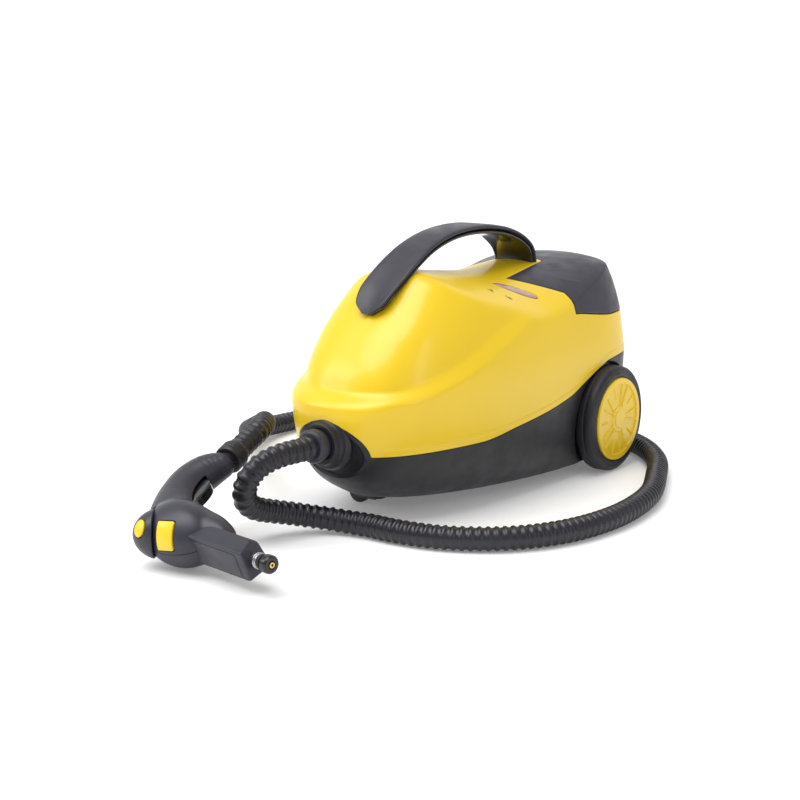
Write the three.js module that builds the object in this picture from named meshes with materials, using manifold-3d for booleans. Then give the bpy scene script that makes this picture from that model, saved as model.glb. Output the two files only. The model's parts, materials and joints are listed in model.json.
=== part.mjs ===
// A canister steam cleaner: a two-part casing on two rear wheels and one front caster, a hinged rear lid over
// the filler cap, a carrying handle, the boiler set inside, and a steam hose that ends in a trigger gun.
// Millimetres, +Z up. The machine's nose points along -Y and its rear axle lies on y = 0, x along the axle.
import * as THREE from 'three';
import { mergeVertices } from 'three/addons/utils/BufferGeometryUtils.js';
import Module from 'manifold-3d';

const wasm = await Module();
wasm.setup();

// ---------------------------------------------------------------- driving dimensions
const GAP = 0.35; // between fixed neighbours
const RUN = 0.3; // radial clearance of a part that turns
const WALL = 3; // casing wall
const WHEEL_R = 62;
const WHEEL_FACE = 128; // outer face of a rear wheel, from the middle plane
const WHEEL_WIDTH = 24;
const HUB_R = 48.5;
const AXLE_R = 5;
const BASE_FLOOR = 14; // underside of the base above the ground
const HOSE_R = 12.4;
const SOCKET = new THREE.Vector3(0, -384, 90); // middle of the hose socket's mouth
const LID_HINGE = { y: 88, z: 180, r: 4.5, pin: 2, half: 34, middle: 18 };
const CASTER = { x: -8, y: -286, trail: 24, r: 12.5, width: 11, wellR: 39, wellTop: 29 };
const GUN = { x: -27, y: -567, z: 33, yaw: -9.8, tilt: 23 };

// ---------------------------------------------------------------- materials
const paint = (color, roughness, metalness = 0) =>
  new THREE.MeshStandardMaterial({ color, roughness, metalness });
const YELLOW = paint(0xeecb28, 0.35);
const BLACK = paint(0x17171c, 0.45);
const GREY_BLACK = paint(0x3a3a46, 0.5);
const GLOSS_BLACK = paint(0x0c0c0f, 0.12);
const RUBBER = paint(0x1a1a1f, 0.8);
const STEEL = paint(0xb9bcc0, 0.3, 1);
const BRASS = paint(0xb08a3c, 0.3, 1);
const LENS = paint(0x8a5f52, 0.2);
const BOARD = paint(0x2c5a38, 0.6);
const WHITE = paint(0xd8d4c8, 0.5);

const steamCleaner = new THREE.Group();

function add(name, geometry, material) {
  geometry.deleteAttribute('uv');
  const mesh = new THREE.Mesh(geometry, material);
  mesh.name = name;
  steamCleaner.add(mesh);
  return mesh;
}

// ---------------------------------------------------------------- small geometry helpers
function toSolid(geometry) {
  const bare = geometry.clone();
  bare.deleteAttribute('normal');
  bare.deleteAttribute('uv');
  const merged = mergeVertices(bare, 1e-4);
  return new wasm.Manifold(new wasm.Mesh({
    numProp: 3,
    vertProperties: new Float32Array(merged.attributes.position.array),
    triVerts: new Uint32Array(merged.index.array),
  }));
}

function toGeometry(solid) {
  const mesh = solid.getMesh();
  const geometry = new THREE.BufferGeometry();
  geometry.setAttribute('position', new THREE.BufferAttribute(new Float32Array(mesh.vertProperties), 3));
  geometry.setIndex(new THREE.BufferAttribute(new Uint32Array(mesh.triVerts), 1));
  geometry.computeVertexNormals();
  return geometry;
}

const unite = (...geometries) => toGeometry(geometries.map(toSolid).reduce((a, b) => a.add(b)));
const cut = (body, ...tools) => toGeometry(tools.map(toSolid).reduce((a, b) => a.subtract(b), toSolid(body)));
const common = (...geometries) => toGeometry(geometries.map(toSolid).reduce((a, b) => a.intersect(b)));

const box = (sx, sy, sz, x, y, z) => new THREE.BoxGeometry(sx, sy, sz).translate(x, y, z);

function cylinder(axis, radius, length, x, y, z, sides = 24) {
  const geometry = new THREE.CylinderGeometry(radius, radius, length, sides);
  if (axis === 'x') geometry.rotateZ(-Math.PI / 2);
  if (axis === 'z') geometry.rotateX(Math.PI / 2);
  return geometry.translate(x, y, z);
}

// a turned piece: its profile lists [radius, distance along the axis], up outside and back down inside
function turned(axis, profile, x, y, z, sides = 32) {
  const geometry = new THREE.LatheGeometry(profile.map(([r, h]) => new THREE.Vector2(r, h)), sides);
  if (axis === 'x') geometry.rotateZ(-Math.PI / 2);
  if (axis === '-x') geometry.rotateZ(Math.PI / 2);
  if (axis === 'z') geometry.rotateX(Math.PI / 2);
  return geometry.translate(x, y, z);
}

// a ring of rectangular section from radius inner to outer, between heights low and high along its axis
const ring = (axis, inner, outer, low, high, x, y, z, sides = 32) =>
  turned(axis, [[inner, low], [outer, low], [outer, high], [inner, high], [inner, low]], x, y, z, sides);

// an outline in the XY plane, drawn from low to high along Z
function plate(points, low, high) {
  const shape = new THREE.Shape(points.map(([x, y]) => new THREE.Vector2(x, y)));
  return new THREE.ExtrudeGeometry(shape, { depth: high - low, bevelEnabled: false }).translate(0, 0, low);
}

// an outline in the YZ plane, drawn right across the machine
function profileAcross(points, half = 140) {
  const shape = new THREE.Shape(points.map(([y, z]) => new THREE.Vector2(y, z)));
  const geometry = new THREE.ExtrudeGeometry(shape, { depth: 2 * half, bevelEnabled: false });
  geometry.applyMatrix4(new THREE.Matrix4().makeBasis(
    new THREE.Vector3(0, 1, 0), new THREE.Vector3(0, 0, 1), new THREE.Vector3(1, 0, 0)));
  return geometry.translate(-half, 0, 0);
}

// points of an ellipse, for outlines
function ellipse(cx, cy, rx, ry, count, turn = 0) {
  return Array.from({ length: count }, (_, i) => {
    const a = (2 * Math.PI * i) / count;
    const px = rx * Math.cos(a);
    const py = ry * Math.sin(a);
    return [cx + px * Math.cos(turn) - py * Math.sin(turn), cy + px * Math.sin(turn) + py * Math.cos(turn)];
  });
}

// a solid or hollow tube along a curve
function tubeAlong(points, outer, inner, steps, sides, tension = 0.5) {
  const knots = points.map((p) => new THREE.Vector3(...p));
  const path = new THREE.CatmullRomCurve3(knots, false, 'centripetal', tension);
  const circle = (radius) => Array.from({ length: sides }, (_, i) => {
    const a = (2 * Math.PI * i) / sides;
    return new THREE.Vector2(radius * Math.cos(a), radius * Math.sin(a));
  });
  const shape = new THREE.Shape(circle(outer));
  if (inner > 0) shape.holes.push(new THREE.Path(circle(inner)));
  return new THREE.ExtrudeGeometry(shape, { steps, extrudePath: path, bevelEnabled: false });
}

// a closed skin through equal rings of points; a ring may be one point repeated, as at a pole
function closedSkin(rings) {
  const count = rings[0].length;
  const position = rings.flat(2);
  const index = [];
  for (let r = 0; r + 1 < rings.length; r += 1) {
    for (let i = 0; i < count; i += 1) {
      const a = r * count + i;
      const b = r * count + ((i + 1) % count);
      index.push(a, b, b + count, a, b + count, a + count);
    }
  }
  const middle = (ring) => ring.reduce((s, p) => s.map((v, k) => v + p[k] / count), [0, 0, 0]);
  position.push(...middle(rings[0]), ...middle(rings[rings.length - 1]));
  const start = position.length / 3 - 2;
  const last = (rings.length - 1) * count;
  for (let i = 0; i < count; i += 1) {
    const next = (i + 1) % count;
    index.push(start, next, i, start + 1, last + i, last + next);
  }
  const geometry = new THREE.BufferGeometry();
  geometry.setAttribute('position', new THREE.BufferAttribute(new Float32Array(position), 3));
  geometry.setIndex(index);
  geometry.computeVertexNormals();
  return geometry;
}

// ---------------------------------------------------------------- the casing's outer surface
// A smooth monotone curve through [t, value] points.
function along(t, points) {
  const last = points.length - 1;
  const x = Math.min(Math.max(t, points[0][0]), points[last][0]);
  const slopes = [];
  for (let i = 0; i < last; i += 1) {
    slopes.push((points[i + 1][1] - points[i][1]) / (points[i + 1][0] - points[i][0]));
  }
  const tangent = (i) => {
    if (i === 0) return slopes[0];
    if (i === last) return slopes[last - 1];
    const [a, b] = [slopes[i - 1], slopes[i]];
    return a * b <= 0 ? 0 : (2 * a * b) / (a + b);
  };
  let i = 0;
  while (i < last - 1 && x > points[i + 1][0]) i += 1;
  const h = points[i + 1][0] - points[i][0];
  const s = (x - points[i][0]) / h;
  return (2 * s ** 3 - 3 * s ** 2 + 1) * points[i][1] + (s ** 3 - 2 * s ** 2 + s) * h * tangent(i)
    + (3 * s ** 2 - 2 * s ** 3) * points[i + 1][1] + (s ** 3 - s ** 2) * h * tangent(i + 1);
}

const CASING = {
  widest: -45, // y of the widest section
  front: [[12, -298], [25, -335], [50, -368], [85, -383], [115, -386], [150, -377], [190, -350], [217, -322],
    [240, -298], [262, -268]], // nose line, y by height
  half: [[12, 104], [50, 108], [130, 112], [170, 107], [205, 98], [235, 86], [262, 70]],
  rear: [[12, 60], [60, 76], [130, 84], [180, 84], [215, 80], [250, 70]],
  noseFullness: [[12, 1.6], [40, 2.3], [80, 2.7], [120, 2.9], [217, 3.6]], // exponent of the section's front
  rearFullness: 4.5,
  // top, z by y
  crown: [[-300, 261], [-270, 258], [-190, 247], [-110, 240], [-40, 243], [30, 245], [90, 242]],
  camber: [[-110, 0.0044], [-50, 0.0038], [50, 0.0016]], // how fast the top falls off to the sides
  ledgeLow: [[-400, 127], [-365, 130], [-327, 135], [-278, 147], [-217, 168], [-162, 189], [-120, 206]],
  ledgeHigh: [[-400, 139], [-344, 145], [-301, 157], [-247, 177], [-205, 194], [-149, 214], [-100, 235]],
  ledgeDepth: [[-400, 3.5], [-360, 5], [-300, 5.5], [-200, 4], [-120, 0]],
};

function smoothMax(a, b, blend) {
  const h = Math.min(Math.max(0.5 + (0.5 * (a - b)) / blend, 0), 1);
  return b * (1 - h) + a * h + blend * h * (1 - h);
}

// About the distance of a point outside the casing's outer surface, negative inside.
function casingField(x, y, z) {
  const dy = y - CASING.widest;
  const half = along(z, CASING.half);
  const reach = dy < 0 ? CASING.widest - along(z, CASING.front) : along(z, CASING.rear) - CASING.widest;
  const power = dy < 0 ? along(z, CASING.noseFullness) : CASING.rearFullness;
  const rho = ((Math.abs(x) / half) ** power + (Math.abs(dy) / reach) ** power) ** (1 / power);
  let field = (rho - 1) * Math.min(half, reach);
  const low = along(y, CASING.ledgeLow);
  const rise = Math.min(Math.max((z - low) / (along(y, CASING.ledgeHigh) - low), 0), 1);
  field += along(y, CASING.ledgeDepth) * rise;
  field = smoothMax(field, z - along(y, CASING.crown) + along(y, CASING.camber) * x * x, 6);
  return smoothMax(field, BASE_FLOOR - z, 5);
}

// The casing's volume, inset by some millimetres, as one closed skin of rings about an inner point.
const CORE = { x: 0, y: -152, z: 110, rx: 110, ry: 236, rz: 130 };
function casingVolume(inset, columns, rows) {
  const rings = [];
  for (let j = 1; j < rows; j += 1) {
    const lift = Math.PI * (j / rows - 0.5);
    const points = [];
    for (let i = 0; i < columns; i += 1) {
      const turn = (2 * Math.PI * i) / columns;
      const dir = [CORE.rx * Math.cos(lift) * Math.sin(turn), -CORE.ry * Math.cos(lift) * Math.cos(turn),
        CORE.rz * Math.sin(lift)];
      let inside = 0;
      let outside = 1.6;
      for (let k = 0; k < 24; k += 1) {
        const t = (inside + outside) / 2;
        if (casingField(dir[0] * t, CORE.y + dir[1] * t, CORE.z + dir[2] * t) + inset > 0) outside = t;
        else inside = t;
      }
      points.push([dir[0] * inside, CORE.y + dir[1] * inside, CORE.z + dir[2] * inside]);
    }
    rings.push(points);
  }
  return closedSkin(rings);
}

// ---------------------------------------------------------------- casing: base, upper shell, lid
const outerCasing = casingVolume(0, 34, 18);
const innerCasing = casingVolume(WALL, 22, 10);

// Everything below the parting line: a long swept line, and an arch over the hose socket at the nose.
function belowParting(raise) {
  const line = [[-420, 77], [-245, 77], [-186, 84], [-129, 91], [-82, 100], [-50, 112], [-16, 124], [6, 130],
    [60, 133], [120, 133]];
  const side = profileAcross([...line.map(([y, z]) => [y, z + raise]), [120, -10], [-420, -10]]);
  const arch = new THREE.ExtrudeGeometry(
    new THREE.Shape(ellipse(0, 78, 46 + raise, 33 + raise, 24).map(([x, z]) => new THREE.Vector2(x, z))),
    { depth: 110, bevelEnabled: false });
  arch.rotateX(Math.PI / 2).translate(0, -310, 0);
  return unite(side, arch);
}

// The lid's share of the top: two wings round the yellow spine, then the whole rear.
function lidRegion(grow) {
  const right = [
    [28.2 - grow, -12 - grow], [41 - 0.56 * grow, -110 - 2.24 * grow], [85, -57 - 1.3 * grow],
    [140, -60 - grow], [140, 140]];
  const plan = [...right, ...right.map(([x, y]) => [-x, y]).reverse()];
  const side = [[-140, 194], [-52, 191], [-23, 187], [24, 182], [140, 182], [140, 300], [-140, 300]];
  const below = side.map(([y, z]) => [y, z < 250 ? z - grow : z]);
  return common(plate(plan, 150, 300), profileAcross(below));
}

function wheelArch(grow) {
  const right = cylinder('x', WHEEL_R + 4 + grow, 60, 130.5 - grow, 0, WHEEL_R, 28);
  const left = cylinder('x', WHEEL_R + 4 + grow, 60, -130.5 + grow, 0, WHEEL_R, 28);
  return [left, right];
}

const SCREWS = [[62, -190], [-62, -190], [70, -60], [-70, -60]];
const SWITCH = { x: -38, z: 98, w: 26, h: 18 };
const GLAND = { x: 34, z: 62 };

function baseTray() {
  const hollow = cut(innerCasing, ...wheelArch(WALL));
  let tray = cut(outerCasing, ...wheelArch(0));
  tray = cut(tray, hollow);
  tray = common(tray, belowParting(0));
  const wellCup = common(cylinder('z', CASTER.wellR + 2.5, 40, CASTER.x, CASTER.y, 12.5, 24), outerCasing);
  const stemBoss = cylinder('z', 8, 14, CASTER.x, CASTER.y, CASTER.wellTop + 7.5, 16);
  tray = unite(tray, wellCup, stemBoss);
  const posts = SCREWS.map(([x, y]) => cylinder('z', 6, 62, x, y, 14.5 + 31.5, 10));
  const axlePosts = [-70, 70].map((x) => box(10, 22, 60, x, 0, 45));
  tray = unite(tray, ...posts, ...axlePosts);
  const recess = cut(
    new THREE.ExtrudeGeometry(
      new THREE.Shape(ellipse(0, 78, 41, 28, 20).map(([x, z]) => new THREE.Vector2(x, z))),
      { depth: 110, bevelEnabled: false }).rotateX(Math.PI / 2).translate(0, -310, 0),
    casingVolume(3, 22, 10));
  return cut(
    tray,
    recess,
    cylinder('y', 19.2 + GAP, 60, SOCKET.x, SOCKET.y + 10, SOCKET.z, 24),
    cylinder('z', CASTER.wellR, 40, CASTER.x, CASTER.y, CASTER.wellTop - 20, 24),
    cylinder('z', 4 + RUN, 60, CASTER.x, CASTER.y, 30, 16),
    cylinder('x', AXLE_R + 0.05, 240, 0, 0, WHEEL_R, 16),
    ...SCREWS.map(([x, y]) => cylinder('z', 2 + GAP, 80, x, y, 60, 10)),
    ...SCREWS.map(([x, y]) => cylinder('z', 4.6, 20, x, y, 12, 10)),
    box(SWITCH.w + 2 * GAP, 40, SWITCH.h + 2 * GAP, SWITCH.x, 84, SWITCH.z),
    cylinder('y', 8 + GAP, 40, GLAND.x, 80, GLAND.z, 20),
  );
}

const HANDLE_LINE = [
  [-318, 216, 6], [-313, 225, 17], [-300, 238.5, 22], [-283, 250, 23.5], [-258, 265, 23.5],
  [-227, 279.5, 22.5], [-190, 289.5, 21.8], [-150, 293.5, 22.2], [-110, 292, 24.5], [-75, 285.5, 26.8],
  [-48, 274.5, 28.2], [-31, 262, 28.3], [-24, 250, 27.8], [-22, 240, 27.5],
]; // y, z of the upper face and the half width there

// A strap through HANDLE_LINE between two depths under its upper face, hollowed a little across its width.
function strap(depthTop, depthBottom, inset) {
  const line = new THREE.CatmullRomCurve3(HANDLE_LINE.map(([y, z, w]) => new THREE.Vector3(w, y, z)));
  const rings = [];
  const steps = 20;
  for (let j = 0; j <= steps; j += 1) {
    const at = line.getPoint(j / steps);
    const dir = line.getTangent(j / steps);
    const size = Math.hypot(dir.y, dir.z);
    const up = [dir.z / size, -dir.y / size]; // inwards normal in (y, z), pointing under the strap
    const half = Math.max(at.x - inset, 3);
    const dish = 2.2 * Math.min(1, Math.max(0, 1 - j / (0.45 * steps)));
    const section = [];
    for (let i = 0; i < 10; i += 1) {
      const a = (-2 * Math.PI * i) / 10;
      const across = Math.sign(Math.cos(a)) * Math.abs(Math.cos(a)) ** 0.6;
      const deep = (1 - Math.sign(Math.sin(a)) * Math.abs(Math.sin(a)) ** 0.8) / 2;
      const hollow = dish * (1 - across * across) * (1 - deep);
      const depth = depthTop + (depthBottom - depthTop) * deep + hollow;
      section.push([half * across, at.y + up[0] * depth, at.z + up[1] * depth]);
    }
    rings.push(section);
  }
  return closedSkin(rings);
}

function lidHingeKnuckles(middle, grow) {
  const { y, z, r, half, middle: inner } = LID_HINGE;
  const spans = middle ? [[-inner + GAP / 2 - grow, inner - GAP / 2 + grow]]
    : [[inner + GAP / 2 - grow, half + grow], [-half - grow, -inner - GAP / 2 + grow]];
  return spans.flatMap(([from, to]) => {
    const length = to - from;
    const x = (from + to) / 2;
    const barrel = cylinder('x', r + grow, length, x, y, z, 16);
    const web = middle
      ? box(length, 8 + 2 * grow, 6 + grow, x, y - 4.5, z + 4)
      : box(length, 8 + 2 * grow, 9 + grow, x, y - 4.5, z - 5);
    return [barrel, web];
  });
}

const LENS_AT = { x: 63, y: -126, long: 27, wide: 6.8, turn: Math.atan2(62, 40) };
const lensPrism = (grow) => plate(
  ellipse(LENS_AT.x, LENS_AT.y, LENS_AT.long + grow, LENS_AT.wide + grow, 24, LENS_AT.turn), 195, 250);

function upperShell() {
  let shell = cut(outerCasing, innerCasing);
  shell = cut(shell, belowParting(GAP), lidRegion(0.8));
  shell = unite(shell, ...lidHingeKnuckles(false, 0));
  return cut(
    shell,
    ...lidHingeKnuckles(true, 0.8),
    cylinder('x', LID_HINGE.pin + 0.05, 120, 0, LID_HINGE.y, LID_HINGE.z, 12),
    lensPrism(GAP),
  );
}

function rearLid() {
  let lid = common(cut(outerCasing, innerCasing), lidRegion(-0.2));
  lid = cut(lid, ...lidHingeKnuckles(false, 0.8));
  lid = unite(lid, ...lidHingeKnuckles(true, 0));
  return cut(lid, cylinder('x', LID_HINGE.pin + RUN, 120, 0, LID_HINGE.y, LID_HINGE.z, 12));
}

add('base_tray', baseTray(), BLACK);
add('upper_shell', upperShell(), YELLOW);
add('rear_lid', rearLid(), GREY_BLACK);
const hingePin = cylinder('x', LID_HINGE.pin, 2 * LID_HINGE.half, 0, LID_HINGE.y, LID_HINGE.z, 12);
add('lid_hinge_pin', hingePin, STEEL);
add('indicator_lens', cut(common(lensPrism(0), casingVolume(-0.6, 34, 18)), casingVolume(5, 22, 10)), LENS);

const keepOut = casingVolume(-0.45, 34, 18);
add('handle_grip', cut(strap(0, 6.4, 0), keepOut), GREY_BLACK);
add('handle_underside', cut(strap(6.4 + GAP, 11.5, 1.6), keepOut), GLOSS_BLACK);

// ---------------------------------------------------------------- rear wheels and axle
add('rear_axle', cylinder('x', AXLE_R, 241, 0, 0, WHEEL_R, 16), STEEL);
const INNER_FACE = WHEEL_FACE - WHEEL_WIDTH + 0.3;
for (const [side, axis] of [['right', 'x'], ['left', '-x']]) {
  const wheel = turned(axis, [
    [AXLE_R + RUN, INNER_FACE], [WHEEL_R - 3, INNER_FACE], [WHEEL_R, INNER_FACE + 3],
    [WHEEL_R, WHEEL_FACE - 4],
    [WHEEL_R - 4, WHEEL_FACE], [HUB_R + 0.5, WHEEL_FACE], [HUB_R + 0.5, WHEEL_FACE - 6],
    [14, WHEEL_FACE - 6], [14, WHEEL_FACE - 11], [AXLE_R + RUN, WHEEL_FACE - 11], [AXLE_R + RUN, INNER_FACE],
  ], 0, 0, WHEEL_R, 24);
  const cap = turned(axis, [
    [0, WHEEL_FACE - 5.6], [HUB_R, WHEEL_FACE - 5.6], [HUB_R, WHEEL_FACE], [HUB_R - 1.5, WHEEL_FACE + 1.2],
    [HUB_R - 5, WHEEL_FACE + 1.2], [HUB_R - 6, WHEEL_FACE], [11, WHEEL_FACE], [10, WHEEL_FACE + 1.2],
    [0, WHEEL_FACE + 1.2],
  ], 0, 0, WHEEL_R, 24);
  const clip = turned(axis, [
    [AXLE_R + 0.05, WHEEL_FACE - 10.6], [9, WHEEL_FACE - 10.6], [9, WHEEL_FACE - 9.4],
    [AXLE_R + 0.05, WHEEL_FACE - 9.4], [AXLE_R + 0.05, WHEEL_FACE - 10.6],
  ], 0, 0, WHEEL_R, 16);
  add(`wheel_${side}`, wheel, BLACK);
  add(`hub_cap_${side}`, cap, YELLOW);
  add(`axle_clip_${side}`, clip, STEEL);
}

// ---------------------------------------------------------------- front swivel caster
const casterWheelX = CASTER.x - CASTER.trail;
function casterFork() {
  const { x, y, r, width } = CASTER;
  const plateLow = 2 * r + 0.6;
  const cheekOut = width / 2 + 3.2;
  const solidFork = unite(
    cylinder('z', 4, 26, x, y, 39, 16),
    cylinder('z', 9, plateLow + 2.2 - 9, x, y, (plateLow + 2.2 + 9) / 2, 24),
    box(CASTER.trail + 6, 2 * cheekOut, 2.2, x - CASTER.trail / 2, y, plateLow + 1.1),
    box(CASTER.trail + 6, 2.4, plateLow - 8, x - CASTER.trail / 2, y + cheekOut - 1.2, (plateLow + 8) / 2),
    box(CASTER.trail + 6, 2.4, plateLow - 8, x - CASTER.trail / 2, y - cheekOut + 1.2, (plateLow + 8) / 2),
  );
  return cut(solidFork, cylinder('y', 2.05, 40, casterWheelX, y, r, 16));
}
add('caster_fork', casterFork(), GREY_BLACK);
add('caster_wheel', ring('y', 2 + RUN, CASTER.r, -CASTER.width / 2, CASTER.width / 2,
  casterWheelX, CASTER.y, CASTER.r, 28), BLACK);
add('caster_pin', cylinder('y', 2, CASTER.width + 6.6, casterWheelX, CASTER.y, CASTER.r, 16), STEEL);
const clipLow = CASTER.wellTop + 15.2;
add('caster_clip', ring('z', 4.05, 7.5, clipLow, clipLow + 1.4, CASTER.x, CASTER.y, 0, 20), STEEL);

// ---------------------------------------------------------------- boiler set
const BOILER = { y0: -210, y1: -50, z: 112, r: 52, wall: 1.5, seam: -130 };
function boilerHalf(front) {
  const { r, wall, seam } = BOILER;
  const end = front ? BOILER.y0 - seam : BOILER.y1 - seam;
  const s = Math.sign(end);
  const gap = s * 0.8;
  const outline = [[0, end], [r - 14, end], [r - 4, end - s * 4], [r, end - s * 14], [r, gap + s * 2.5],
    [r + 6, gap + s * 2.5], [r + 6, gap], [r - wall, gap], [r - wall, end - s * 14], [r - 5, end - s * 6],
    [r - 15, end - s * wall], [0, end - s * wall]];
  return turned('y', front ? outline : outline.reverse(), 0, seam, BOILER.z, 24);
}
add('boiler_front', boilerHalf(true), STEEL);
add('boiler_rear', boilerHalf(false), STEEL);
add('boiler_gasket', ring('y', BOILER.r - 1, BOILER.r + 5, -0.5, 0.5, 0, BOILER.seam, BOILER.z, 24), RUBBER);
add('boiler_heater', cut(
  box(40, 96, 12, 0, BOILER.seam, BOILER.z - BOILER.r - 6.8),
  cylinder('y', BOILER.r + 6.4, 7, 0, BOILER.seam, BOILER.z, 24),
), GREY_BLACK);
for (const [name, y] of [['boiler_saddle_front', -185], ['boiler_saddle_rear', -66]]) {
  const saddle = cut(box(88, 8, 58, 0, y, 18 + 29), cylinder('y', BOILER.r + GAP, 60, 0, y, BOILER.z, 24));
  add(name, saddle, BLACK);
}
const boilerTop = BOILER.z + BOILER.r + 0.4;
add('thermostat', turned('z', [[0, 0], [9, 0], [9, 5], [6, 9], [0, 9]], 0, -105, boilerTop, 20), STEEL);
add('thermal_fuse', box(22, 7, 7, 0, -80, boilerTop + 3.6), WHITE);
const valveProfile = [[0, 0], [7, 0], [7, 8], [5, 10], [5, 20], [3, 24], [0, 24]];
add('safety_valve', turned('z', valveProfile, 0, -160, boilerTop, 16), BRASS);
const VALVE_Y = BOILER.y0 - 18;
add('solenoid_valve', unite(
  box(26, 30, 26, 0, VALVE_Y - 1, 104), cylinder('z', 11, 24, 0, VALVE_Y - 1, 128, 20),
  cylinder('y', 5, 10, 0, VALVE_Y + 13, 104, 16),
), BRASS);
add('steam_pipe', tubeAlong([[0, VALVE_Y - 16.4, 104], [0, -280, 103], [0, -330, 92], [0, -371.4, SOCKET.z]],
  3.5, 2.2, 8, 8), BRASS);
add('control_board', box(56, 3, 44, 56, 42, 104), BOARD);

// ---------------------------------------------------------------- filling place under the lid
const FILLER_Y = 40;
const TRAY_Z = 167;
add('filler_tray', cut(
  common(box(240, 134, 3, 0, 15, TRAY_Z + 1.5), casingVolume(WALL + 1.5, 22, 10)),
  cylinder('z', 17 + GAP, 20, 0, FILLER_Y, TRAY_Z, 28),
), BLACK);
add('filler_neck', ring('z', 13, 17, 150, 190, 0, FILLER_Y, 0, 28), BLACK);
add('filler_pipe', tubeAlong([[0, FILLER_Y, 149.6], [0, FILLER_Y, 138], [0, FILLER_Y - 14, 122],
  [0, 0, 116], [0, BOILER.y1 + 0.4, 116]], 12, 10, 7, 10), RUBBER);
add('filler_seal', cylinder('z', 16.8, 6, 0, FILLER_Y, 193.4, 28), RUBBER);
const capProfile = [[0, 196.9], [21, 196.9], [21, 182], [25, 182], [25, 202], [22, 205], [0, 205]];
add('filler_cap', turned('z', capProfile, 0, FILLER_Y, 0, 30), BLACK);

// ---------------------------------------------------------------- power switch, cord gland, base screws
const switchPocket = box(20.4, 20, 12.6, SWITCH.x, 84, SWITCH.z);
add('switch_housing', cut(box(SWITCH.w, 14, SWITCH.h, SWITCH.x, 79, SWITCH.z), switchPocket), BLACK);
add('switch_rocker', box(19.4, 6, 11.2, SWITCH.x, 83.5, SWITCH.z), GLOSS_BLACK);
add('cord_gland', turned('y', [[4, 66], [8, 66], [8, 84], [9.5, 84], [9.5, 87], [6.5, 99], [4, 99], [4, 66]],
  GLAND.x, 0, GLAND.z, 20), BLACK);
SCREWS.forEach(([x, y], i) => add(
  `base_screw_${i + 1}`,
  turned('z', [[0, 18], [4.2, 18], [4.2, 21.4], [2, 21.4], [2, 62], [0, 64]], x, y, 0, 12), STEEL));

// ---------------------------------------------------------------- hose
const PLUG_END = -26;
add('hose_socket', ring('y', 16.1, 19.2, -11, 16, SOCKET.x, SOCKET.y, SOCKET.z, 28), BLACK);
add('hose_plug', turned('y', [
  [0, 12], [15.7, 12], [15.7, -13], [17.5, -15], [17.5, PLUG_END + 3], [14.5, PLUG_END],
  [0, PLUG_END]].reverse(), SOCKET.x, SOCKET.y, SOCKET.z, 28), GREY_BLACK);

const HOSE_ROUTE = [
  [0, SOCKET.y + PLUG_END - 0.35, 90], [0, -424, 90], [-2, -440, 90], [-6, -456, 88], [-12, -471, 82],
  [-18, -481, 71], [-22, -484, 58], [-25, -479, 45], [-25, -466, 35], [-21, -449, 29], [-13, -431, 24],
  [-1, -413, 19], [16, -399, 15.5], [36, -390, 13], [60, -386, 12.6], [90, -386, 12.6], [140, -376, 12.6],
  [190, -344, 12.6], [226, -290, 12.6], [242, -212, 12.6], [232, -120, 12.6], [200, -40, 12.6],
  [164, 28, 12.6], [112, 82, 12.6], [40, 116, 12.6], [-50, 130, 12.6], [-140, 118, 12.6], [-222, 76, 12.6],
  [-278, 22, 12.6], [-306, -46, 12.6], [-309, -116, 15], [-284, -180, 24],
  [-240, -234, 41], [-190, -280, 60], [-141, -321, 79], [-104, -361, 92],
];

// ---------------------------------------------------------------- trigger gun
// The gun lies on its side. Its own frame: x along the spout, y along the grip's fall, z out of its side.
const gunFrame = new THREE.Matrix4().makeRotationFromEuler(
  new THREE.Euler((GUN.tilt * Math.PI) / 180, 0, (GUN.yaw * Math.PI) / 180, 'ZYX'),
).setPosition(GUN.x, GUN.y, GUN.z);
const gunPiece = (name, geometry, material) => add(name, geometry.applyMatrix4(gunFrame), material);

const HEAD = { rx: 45, ry: 32, rz: 32 };
const GRIP_LINE = [
  [-14, 2, 27], [-36, 17, 24], [-56, 40, 21.5], [-66, 64, 21], [-66, 84, 19.5], [-60, 99, 15.5],
];
const CUFF = { x: -59, y: 108.5 }; // middle of the grip's end, where the hose goes in
const CUFF_DIR = new THREE.Vector3(-0.35, 0.93, -0.1).normalize();

function gunHead(grow) {
  const ball = new THREE.SphereGeometry(1, 16, 10).scale(HEAD.rx + grow, HEAD.ry + grow, HEAD.rz + grow);
  const hood = new THREE.SphereGeometry(1, 12, 8).scale(46 + grow, 20 + grow, 21 + grow).translate(18, 11, 0);
  return unite(ball, hood);
}

function gunGrip(grow) {
  const line = new THREE.CatmullRomCurve3(GRIP_LINE.map(([x, y, r]) => new THREE.Vector3(x, y, r)));
  const rings = [];
  const steps = 9;
  for (let j = 0; j <= steps; j += 1) {
    const at = line.getPoint(j / steps);
    const dir = line.getTangent(j / steps);
    const size = Math.hypot(dir.x, dir.y);
    const aside = [-dir.y / size, dir.x / size];
    const section = [];
    for (let i = 0; i < 10; i += 1) {
      const a = (2 * Math.PI * i) / 10;
      const w = (at.z + grow) * Math.cos(a);
      section.push([at.x + aside[0] * w, at.y + aside[1] * w, (at.z + grow) * 0.92 * Math.sin(a)]);
    }
    rings.push(section);
  }
  return closedSkin(rings);
}

const halfSpace = (low) => box(400, 400, 200, 0, 0, low ? -100 + GAP / 2 : 100 - GAP / 2);
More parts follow.
